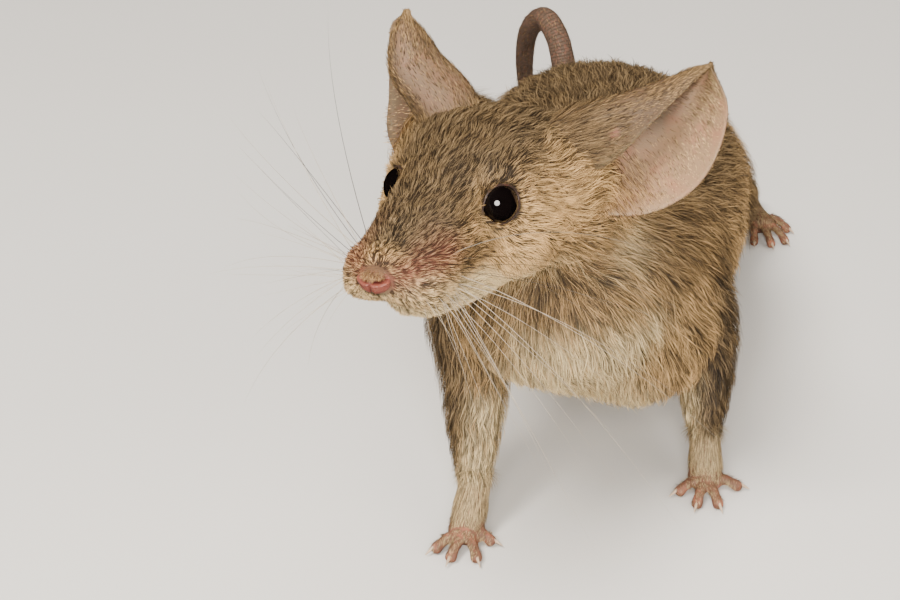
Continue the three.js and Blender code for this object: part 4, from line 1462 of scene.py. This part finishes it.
def clear_of_face(spine):
    """Which spines keep out of both eyes and off the nose pad."""
    p = to_head(spine)
    clear = np.ones(len(spine), dtype=bool)
    for side in SIDES.values():
        clear &= np.all(around_eye(p, side)[0] > EYE_CLEAR, axis=1)
    pad = np.linalg.norm((p - np.asarray(NOSE["at"])) / (np.asarray(NOSE["size"]) + 0.02), axis=-1)
    return clear & ~np.any(pad < 1, axis=1)


def region_weights(skin):
    """How densely each piece of the coat is planted at each point of the hide."""
    back, high = to_head(skin.points).T[1:]
    y = skin.points[:, 1]
    trunk, neck, head = (skin.form == number for number in (TRUNK_FORM, NECK_FORM, HEAD_FORM))
    places = {
        "muzzle": head & (back <= -4),
        "brow": head & (back > -4) & (back <= 4),
        "crown": head & (back > 4) & (high > 0.5),
        "cheeks": head & (back > 4) & (high <= 0.5),
        "neck": neck,
        "chest": trunk & (y <= 13),
        "flanks": trunk & (y > 13) & (y <= 33),
        "rump": trunk & (y > 33),
        "legs": skin.form > HEAD_FORM,
    }
    planted = 1 / np.clip(skin.hair_length, 0.5, 8) ** 0.8
    planted = planted * (1 - 0.7 * skin.marks["bare"])
    planted = np.where(skin.points[:, 2] < 1.6, 0, planted)
    return {name: planted * places[name] for name in REGIONS}


def coat_tones(skin, roots, spots, marks, layer, guard, rng):
    """Tones of tufts from 0, dark, to TOP_TONE: more straw ones where marks and layer ask, in fine streaks.

    A guard hair is as often the palest as it is dark, which is a tone of 1.
    """
    count = len(roots)
    on_head = skin.weights["head"][spots]
    # fewer straw hairs where dark, which is partly painted shade
    straw = 0.36 - 0.10 * marks["dark"] + 0.22 * marks["warm"] + 0.2 * marks["cream"]
    straw = straw * blend(0.35, 1.5, step(0.5, 0.9, layer))
    streak = blend(0.2, 0.5, on_head) * ripple(roots, 0.42, 4)
    # shadow and light: the tones of the dark hairs and of the straw ones; lower-lying hairs are dark more often
    shadow, light = blend(0.24, 0.04, on_head), blend(0.54, 0.7, on_head)
    tone = np.where(rng.uniform(0, 1, count) + streak < straw, light, shadow)
    tone = tone + 0.08 * ripple(roots, 1.9, 1) + 0.06 * ripple(roots, 0.8, 2) + rng.normal(0, 0.09, count)
    return np.where(guard, np.where(rng.uniform(0, 1, count) < 0.5, TOP_TONE, 1), np.clip(tone, 0, TOP_TONE))


def add_coat(sizes, colours):
    """The coat over the hide, a piece for each region."""
    skin = hide()
    material = coat_material(colours)
    for name, weight in region_weights(skin).items():
        count, width = REGIONS[name]
        count = int(count * sizes.coat_fullness)
        rng = np.random.default_rng(SEED + len(name))
        roots, spots, q, shares = rooted(skin, weight, count, rng)
        marks = {key: np.sum(values[q] * shares, 1) for key, values in skin.marks.items()}
        guard = rng.uniform(0, 1, count) < GUARDS * (1 - marks["bare"])
        layer = rng.uniform(0.25, 1.08, count) * (1 + 0.16 * ripple(roots, 1.9, 1)) * np.where(guard, 1.3, 1)
        by_ear = skin.by_ear[spots]
        depth = np.maximum(skin.coat_depth[spots] * layer, 0.1) * (1 + 1.1 * by_ear)
        length = skin.hair_length[spots] * rng.uniform(0.7, 1.1, count) * np.where(guard, 1.25, 1)
        length = length * sizes.coat_length
        eye_gap = np.minimum(*(around_eye(to_head(roots), side)[0] for side in SIDES.values()))
        length = length * blend(0.3, 1, step(1.5, 3.6, eye_gap)) * (1 + 0.5 * by_ear)
        stray = 0.30 * ripple(roots, 2.6, 3) + 0.16 * ripple(roots, 0.8, 2) + rng.normal(0, 0.1, count)
        spine, normals = grown(skin, roots, spots, length, depth, stray)
        keep = clear_of_face(spine) & (spine[..., 2].min(1) > FLOOR_CLEAR)
        tone = coat_tones(skin, roots, spots, marks, layer, guard, rng)
        mixed = rng.normal(0, 0.12, count) * (marks["cream"] > 0.02)
        brindled = np.where(rng.uniform(0, 1, count) < 0.22, 0.3, 1)
        marks["cream"] = np.clip(marks["cream"] * brindled + mixed, 0, 1)
        roll = rng.uniform(-0.6, 0.6, count)
        wide = width * rng.uniform(0.7, 1.25, count) * blend(0.9, 1.2, step(0.6, 1.0, layer))
        tufts = Tufts()
        tufts.add(keep, spine, normals, wide, roll, {"tone": tone, **marks}, unwrapped(skin, spots, roots))
        tufts.make(f"coat_{name}", material)


def straight(roots, normals, ways, length, lift):
    """Short spines: root + way * length * t + normal * lift * sin(pi t / 2)."""
    t = np.linspace(0, 1, STATIONS)
    spine = (
        roots[:, None]
        + ways[:, None] * (length[:, None] * t)[..., None]
        + normals[:, None] * (lift[:, None] * np.sin(0.5 * np.pi * t))[..., None]
    )
    return spine, np.repeat(normals[:, None], STATIONS, 1)


def fringe_marks(count, cream=0.0, dark=0.0, warm=0.8, bare=0.35):
    """Marks of short hairs, each the same for all or one value a hair."""
    return {name: value + np.zeros(count) for name, value in zip(HIDE_MARKS, (cream, dark, warm, bare))}


def ear_hairs(s, count, rng):
    """Hairs of an ear: in the hollow they fan from the furrow to the rear rim, elsewhere they point up."""
    u, w = ear_grid(80, 141)
    leaf, normals = ear_leaf(s, u, w)
    up, out = (unit(np.gradient(leaf, axis=axis)) for axis in (0, 1))
    i = (2 + (len(u) - 3) * rng.uniform(0, 1, count) ** 1.8).astype(int)
    k = rng.integers(0, len(w) - 1, count)
    share = rng.uniform(0, 1, (count, 2))
    spot = leaf[i, k] + share[:, :1] * (leaf[i - 1, k] - leaf[i, k])
    spot = spot + share[:, 1:] * (leaf[i, k + 1] - leaf[i, k])
    inner = rng.uniform(0, 1, count) < 0.5
    normal = np.where(inner[:, None], 1, -1) * normals[i, k]
    height, aside = u[i], w[k]
    crest = EAR["fold_at"]
    in_bowl = inner & (aside > crest)
    fan = np.where(in_bowl, blend(0.5, 1.5, step(crest, 0.6, aside)), 0.5 * (aside - crest))
    fan = fan + rng.normal(0, 0.14, count)
    way = unit(up[i, k] * np.cos(fan)[:, None] + out[i, k] * np.sin(fan)[:, None])
    bald = bell(aside - 0.2, 0.4) * step(0.1, 0.3, height) * step(0.85, 0.5, height)
    keep = ~(in_bowl & (rng.uniform(0, 1, count) < 0.9 * bald))
    length = rng.uniform(0.5, 0.95, count) * blend(1, 0.6, step(0.7, 1, height))
    length = length * (1 + 2.6 * step(0.42, 0.05, height))
    length = length * blend(1, 0.35, step(0.6, 0.95, np.abs(aside)))
    root = from_head(spot + normal * (0.5 * ear_wall(height, aside) - 0.03)[:, None])
    lift = 0.25 * length * rng.uniform(0.3, 1, count)
    spine, n = straight(root, normal @ HEAD_TURN.T, way @ HEAD_TURN.T, length, lift)
    # painted shadow: hairs beside the front flap are darker and less cream
    shaded = flap_shadow(height, aside)
    high = step(0.15, 0.5, height)
    marks = fringe_marks(
        count,
        cream=np.where(in_bowl, 0.4 * high, 0) * (1 - shaded),
        dark=np.where(in_bowl, 0.9 * shaded, 0.75 - 0.3 * high),
        warm=np.where(in_bowl, 0.6, 0.2),
        bare=np.where(in_bowl, 0.3, 0.05),
    )
    in_crease = ~inner & (ear_crease(height, aside) > 0.7)
    patch = np.column_stack([0.76 + 0.11 * (SIDES[s] > 0) + 0.1 * height, 0.77 + 0.1 * (aside + 1)])
    return keep & ~in_crease, spine, n, marks, patch


def foot_hairs(s, hind, count, rng):
    """Short hairs over the top of a foot, pointing to the toes, longer and denser up to the wrist or ankle."""
    points, quads = foot_shell(s, hind)
    normals = point_normals(points, quads)
    ahead = np.asarray(ARMS[s]["palm"]) * (1, 1, 0) - np.asarray(ARMS[s]["wrist"]) * (1, 1, 0)
    heading = headed(LEGS[s]["heading"]) if hind else unit(ahead)
    height = points[quads[:, 0], 2]
    upward = step(0.0, 0.5, normals[quads[:, 0], 2] + 0.15)
    odds = quad_areas(points, quads) * np.maximum(upward, step(1.4, 2.6, height))
    odds = odds * step(0.3, 0.9, height) * (1 + 2.5 * step(0.9, 1.5, height) + 2.5 * step(1.6, 3.8, height))
    q, a, b = scattered(quads, odds, count, rng)
    root = blend(blend(points[q[:, 0]], points[q[:, 1]], a), blend(points[q[:, 3]], points[q[:, 2]], a), b)
    n = normals[q[:, 0]]
    shaggy = step(1.4, 3.8, root[:, 2])
    way = laid(heading + rng.normal(0, 0.16, (count, 3)) - np.outer(1.8 * shaggy, (0, 0, 1)), n)
    length = rng.uniform(0.45, 0.8, count) * (1 + 1.3 * shaggy)
    spine, n = straight(root - 0.03 * n, n, way, length, 0.2 * length)
    left = SIDES[s] > 0
    patch = np.column_stack([0.80 + 0.04 * a[:, 0] + 0.06 * left, 0.30 + 0.04 * b[:, 0] + 0.06 * hind])
    marks = fringe_marks(count, cream=rng.uniform(0.4, 0.9, count), dark=0.2 * shaggy)
    return spine[..., 2].min(1) > 0.5 * FLOOR_CLEAR, spine, n, marks, patch


def nose_hairs(count, rng):
    """Fine hairs over the top of the nose pad, pointing forward and down to its slits."""
    aside = rng.uniform(-0.92, 0.92, count)
    z = rng.uniform(0.0, 1.0, count) * np.sqrt(1 - aside**2)
    way = np.stack([aside, -np.sqrt(np.maximum(1 - aside**2 - z**2, 0)), z], -1)
    gap, line = nose_slit(np.abs(aside), z)
    size = np.asarray(NOSE["size"])
    n = unit(way / size)
    root = np.asarray(NOSE["at"]) + way * size - 0.02 * n
    down = np.array([0, -0.5, -1.0]) + rng.normal(0, 0.25, (count, 3))
    down = laid(down + np.stack([0.5 * aside, 0 * z, 0 * z], -1), n)
    length = rng.uniform(0.25, 0.5, count)
    spine, normals = straight(from_head(root), n @ HEAD_TURN.T, down @ HEAD_TURN.T, length, 0.3 * length)
    patch = np.column_stack([0.90 + 0.04 * aside, 0.42 + 0.04 * z])
    return (z > line + 0.24) & (gap > 0.26), spine, normals, fringe_marks(count, warm=0.5, bare=0.5), patch


def tail_hairs(count, rng):
    """Sparse hairs between the tail's scales, pointing to its tip."""
    share = rng.uniform(0.02, 0.99, count)
    stations = 330
    t = np.interp(share, np.linspace(0, 1, stations), even(TAIL_PATH, stations))
    turn = rng.uniform(0, 2 * np.pi, count)
    along, across, rise, girth = tail_frame(t, share)
    n = across * np.cos(turn)[:, None] + rise * np.sin(turn)[:, None]
    root = spline(TAIL_PATH, t) + n * (girth - 0.04)[:, None]
    length = rng.uniform(0.6, 1.1, count)
    spine, normals = straight(root, n, along, length, 0.22 * length)
    patch = np.column_stack([0.78 + 0.2 * share, 0.52 + 0.2 * turn / (2 * np.pi)])
    return spine[..., 2].min(1) > 0.5 * FLOOR_CLEAR, spine, normals, fringe_marks(count, dark=0.4), patch


def add_fringe(colours):
    """The short sparse hairs of ears, feet, tail and nose."""
    rng = np.random.default_rng(FRINGE_SEED)
    tufts = Tufts()
    batches = [(ear_hairs(s, EAR_HAIRS, rng), 0.05) for s in SIDES]
    batches += [(foot_hairs(s, hind, FOOT_HAIRS, rng), 0.045) for s in SIDES for hind in (False, True)]
    batches.append((tail_hairs(TAIL_HAIRS, rng), 0.05))
    batches.append((nose_hairs(NOSE_HAIRS, rng), 0.03))
    for (keep, spine, normals, marks, patch), width in batches:
        count = len(spine)
        tone = rng.uniform(0.1, 0.65, count)
        wide = width * rng.uniform(0.7, 1.2, count)
        tufts.add(keep, spine, normals, wide, rng.uniform(-0.5, 0.5, count), {"tone": tone, **marks}, patch)
    tufts.make("coat_fringe", coat_material(colours))


# ---------------------------------------------------------------- whiskers
def hairs(roots, ways, bends, lengths, girths, sides=5, stations=14):
    """Tapered curved hairs, with the share along of each point.

    A hair is root + way * length * t + bend * length * t^2, round which rings shrink as 1 - 0.88 t.
    """
    t = np.linspace(0, 1, stations)
    spine = (
        roots[:, None]
        + ways[:, None] * (lengths[:, None] * t)[..., None]
        + bends[:, None] * (lengths[:, None] * t**2)[..., None]
    )
    along = unit(np.gradient(spine, axis=1))
    across = unit(np.cross(along, bends[:, None] + (0.01, 0.02, 0.03)))
    rise = np.cross(along, across)
    a = np.linspace(0, 2 * np.pi, sides, endpoint=False)
    girth = girths[:, None] * (1 - 0.88 * t) * np.where(t == 1, 0.2, 1)
    ring = across[:, :, None] * np.cos(a)[:, None] + rise[:, :, None] * np.sin(a)[:, None]
    grid = spine[:, :, None] + ring * girth[..., None, None]
    shells = [closed(one[:, ::-1]) for one in grid]
    return together(shells), np.tile(np.concatenate([np.repeat(t, sides), [0, 1]]), len(roots))


def whisker_roots(skin):
    """Rows of whiskers on both pads: root, way, bend, length, girth and tone of each.

    The two upper rows of the left pad are thin and dark.
    """
    rng = np.random.default_rng(WHISKER_SEED)
    whiskers = []
    for s, way in SIDES.items():
        fan = WHISKERS[s]
        for row in range(WHISKER_ROWS):
            fine = s == "left" and row < 2
            tones = (0.5, 0.9) if fine else (0, 0.44 if row > 1 else 0.8)
            for column in range(WHISKER_COLUMNS):
                spot = np.array([4.6 * way, -11.9 + 1.0 * column + 0.25 * (row % 2), -1.1 - 0.72 * row])
                j = skin.table.nearest(from_head(spot)[None])[0]
                rise = np.radians(fan["rise"] - 21 * row + rng.normal(0, 6))
                swing = np.radians(fan["swing"] - 13 * column + rng.normal(0, 6))
                flat = np.array([way * np.cos(swing), -np.sin(swing), 0]) * np.cos(rise)
                root = skin.points[j] - 0.2 * skin.normals[j]
                ahead = HEAD_TURN @ (flat + (0, 0, np.sin(rise)))
                bend = HEAD_TURN @ np.array([0, 0.30, fan["droop"] + rng.normal(0, 0.08)])
                length = (5.0 + fan["longer"] * column) * rng.uniform(0.8, 1.15)
                girth = (0.011 if fine else 0.016) + 0.0026 * column
                whiskers.append((root, ahead, bend, length, girth, rng.uniform(*tones)))
    return [np.array(values) for values in zip(*whiskers)]


def add_whiskers(sizes, colours):
    """The whiskers of both pads, in one piece."""
    roots, ways, bends, lengths, girths, tones = whisker_roots(hide())
    (points, faces), along = hairs(roots, ways, bends, lengths * sizes.whisker_length, girths)
    marks = {"along": along, "tone": np.repeat(tones, len(points) // len(roots))}
    new_piece("whiskers", points, faces, whisker_material(colours), marks=marks)


# ---------------------------------------------------------------- stage
def add_stage():
    """A pale floor, soft lights round the animal, and the camera."""
    scene = bpy.context.scene
    mesh = bpy.data.meshes.new("floor")
    half = 1.2
    corners = [(-half, -half, 0), (half, -half, 0), (half, half, 0), (-half, half, 0)]
    mesh.from_pydata(corners, [], [(0, 1, 2, 3)])
    mesh.materials.append(floor_material())
    floor = bpy.data.objects.new("floor", mesh)
    scene.collection.objects.link(floor)
    floor.visible_glossy = False
    for name, (place, size, watts) in LAMPS.items():
        light = bpy.data.lights.new(name, "AREA")
        light.shape, light.size, light.energy, light.color = "DISK", size, watts, (1, 0.95, 0.88)
        lamp = bpy.data.objects.new(name, light)
        lamp.visible_glossy = name == "front"
        lamp.location = place
        lamp.rotation_euler = (Vector(LAMPS_AIM) - lamp.location).to_track_quat("-Z", "Y").to_euler()
        scene.collection.objects.link(lamp)
    world = bpy.data.worlds.new("studio")
    world.use_nodes = True
    background = world.node_tree.nodes["Background"]
    background.inputs["Color"].default_value = (1.0, 0.97, 0.93, 1)
    background.inputs["Strength"].default_value = 0.33
    scene.world = world
    world.cycles_visibility.glossy = False
    lens = bpy.data.cameras.new("camera")
    lens.lens, lens.sensor_width, lens.clip_start = 60, 36, 0.005
    camera = bpy.data.objects.new("camera", lens)
    camera.location = CAMERA_AT
    camera.rotation_euler = [np.radians(angle) for angle in CAMERA_TURN]
    scene.collection.objects.link(camera)
    scene.camera = camera


# ---------------------------------------------------------------- settings, operators and panel
def colour_of(name, description, default):
    """A colour that a user can change."""
    return bpy.props.FloatVectorProperty(
        name=name, description=description, default=default, size=3, min=0, max=1, subtype="COLOR"
    )


def share_of(name, description):
    """A share of the usual that a user can change."""
    return bpy.props.FloatProperty(
        name=name, description=description, default=1.0, min=0.3, max=2, subtype="FACTOR"
    )


class MouseSizes(bpy.types.PropertyGroup):
    """Sizes that a user would change"""

    eye_radius: bpy.props.FloatProperty(
        name="Eye radius",
        description="Radius of each eyeball",
        default=EYE_RADIUS * MM,
        min=0.001,
        max=0.0025,
        precision=5,
        unit="LENGTH",
    )
    coat_length: share_of("Coat length", "Length of the hair as a share of the usual")
    coat_fullness: share_of("Coat fullness", "Number of tufts as a share of the usual")
    whisker_length: share_of("Whisker length", "Length of the whiskers as a share of the usual")


class MouseColours(bpy.types.PropertyGroup):
    """Colours that a user would change"""

    band: colour_of("Band", "Straw band near the tip of each hair", (0.30, 0.19, 0.085))
    cheek: colour_of("Cheek", "Warmer band of cheeks and flanks", (0.41, 0.265, 0.115))
    # the crown band also carries the painted shade of the dark mark on back, nape, outer limbs and front of the
    # trunk
    crown: colour_of("Crown", "Greyer band of crown and back", (0.13, 0.091, 0.051))
    under: colour_of("Undercoat", "Dark grey at the roots and in the tips of hairs", (0.034, 0.024, 0.015))
    belly: colour_of("Belly", "Cream hair of throat, belly and inner legs", (0.43, 0.345, 0.205))
    muzzle: colour_of("Muzzle", "Pale hair over the pink of the muzzle", (0.22, 0.118, 0.066))
    skin: colour_of("Skin", "Pink skin", (0.50, 0.18, 0.11))
    ear: colour_of("Ear", "Skin of the ears", (0.25, 0.155, 0.09))
    foot: colour_of("Foot", "Skin of the feet", (0.175, 0.08, 0.052))
    tail: colour_of("Tail", "Skin of the tail", (0.09, 0.06, 0.042))
    lid: colour_of("Eyelid", "Margin of the eyelids", (0.03, 0.018, 0.014))
    nose: colour_of("Nose", "Nose pad", (0.17, 0.050, 0.036))
    # the nostrils' colour is red skin darkened as painted shade
    nostril: colour_of("Nostril", "Inside of the nostrils", (0.07, 0.008, 0.007))
    eye: colour_of("Eye", "Eyeball", (0.0012, 0.0008, 0.0008))
    claw: colour_of("Claw", "Horn of the claws", (0.50, 0.37, 0.26))
    whisker: colour_of("Whisker", "Pale whiskers and whisker tips", (0.42, 0.35, 0.26))


class MOUSE_OT_skin(bpy.types.Operator):
    """Makes the one skin of the body, ears, feet, tail and eyelids"""

    bl_idname = "mouse.skin"
    bl_label = "Skin"

    def execute(self, context):
        add_skin(context.scene.mouse_colours)
        return {"FINISHED"}


class MOUSE_OT_nose(bpy.types.Operator):
    """Makes the nose pad with its nostrils"""

    bl_idname = "mouse.nose"
    bl_label = "Nose"

    def execute(self, context):
        add_nose(context.scene.mouse_colours)
        return {"FINISHED"}


class MOUSE_OT_eyes(bpy.types.Operator):
    """Makes both eyeballs"""

    bl_idname = "mouse.eyes"
    bl_label = "Eyes"

    def execute(self, context):
        add_eyes(context.scene.mouse_sizes, context.scene.mouse_colours)
        return {"FINISHED"}


class MOUSE_OT_claws(bpy.types.Operator):
    """Makes the claws of all four feet"""

    bl_idname = "mouse.claws"
    bl_label = "Claws"

    def execute(self, context):
        add_claws(context.scene.mouse_colours)
        return {"FINISHED"}


class MOUSE_OT_coat(bpy.types.Operator):
    """Makes the coat of the head, body and legs"""

    bl_idname = "mouse.coat"
    bl_label = "Coat"

    def execute(self, context):
        add_coat(context.scene.mouse_sizes, context.scene.mouse_colours)
        return {"FINISHED"}


class MOUSE_OT_fringe(bpy.types.Operator):
    """Makes the short hairs of ears, feet, tail and nose"""

    bl_idname = "mouse.fringe"
    bl_label = "Ear, foot, tail and nose hairs"

    def execute(self, context):
        add_fringe(context.scene.mouse_colours)
        return {"FINISHED"}


class MOUSE_OT_whiskers(bpy.types.Operator):
    """Makes the whiskers"""

    bl_idname = "mouse.whiskers"
    bl_label = "Whiskers"

    def execute(self, context):
        add_whiskers(context.scene.mouse_sizes, context.scene.mouse_colours)
        return {"FINISHED"}


class MOUSE_OT_stage(bpy.types.Operator):
    """Sets up the floor, lights and camera"""

    bl_idname = "mouse.stage"
    bl_label = "Stage"

    def execute(self, context):
        add_stage()
        return {"FINISHED"}


OPERATORS = (
    MOUSE_OT_stage,
    MOUSE_OT_skin,
    MOUSE_OT_nose,
    MOUSE_OT_eyes,
    MOUSE_OT_claws,
    MOUSE_OT_coat,
    MOUSE_OT_fringe,
    MOUSE_OT_whiskers,
)


class MOUSE_PT_panel(bpy.types.Panel):
    """Sizes and colours of the mouse, and its makers"""

    bl_idname = "MOUSE_PT_panel"
    bl_label = "Grey Mouse"
    bl_space_type = "VIEW_3D"
    bl_region_type = "UI"
    bl_category = "Mouse"

    def draw(self, context):
        for settings in (context.scene.mouse_sizes, context.scene.mouse_colours):
            box = self.layout.box()
            for key in settings.__annotations__:
                box.prop(settings, key)
        for operator in OPERATORS:
            self.layout.operator(operator.bl_idname)


CLASSES = (MouseSizes, MouseColours, *OPERATORS, MOUSE_PT_panel)


def register():
    """Registers the classes and gives the scene their settings."""
    for cls in CLASSES:
        bpy.utils.register_class(cls)
    bpy.types.Scene.mouse_sizes = bpy.props.PointerProperty(type=MouseSizes)
    bpy.types.Scene.mouse_colours = bpy.props.PointerProperty(type=MouseColours)


def unregister():
    """Takes back what register gave, in reverse."""
    del bpy.types.Scene.mouse_colours
    del bpy.types.Scene.mouse_sizes
    for cls in reversed(CLASSES):
        bpy.utils.unregister_class(cls)


def main():
    """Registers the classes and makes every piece."""
    register()
    for operator in OPERATORS:
        group, name = operator.bl_idname.split(".")
        getattr(getattr(bpy.ops, group), name)()


if __name__ == "__main__":
    main()
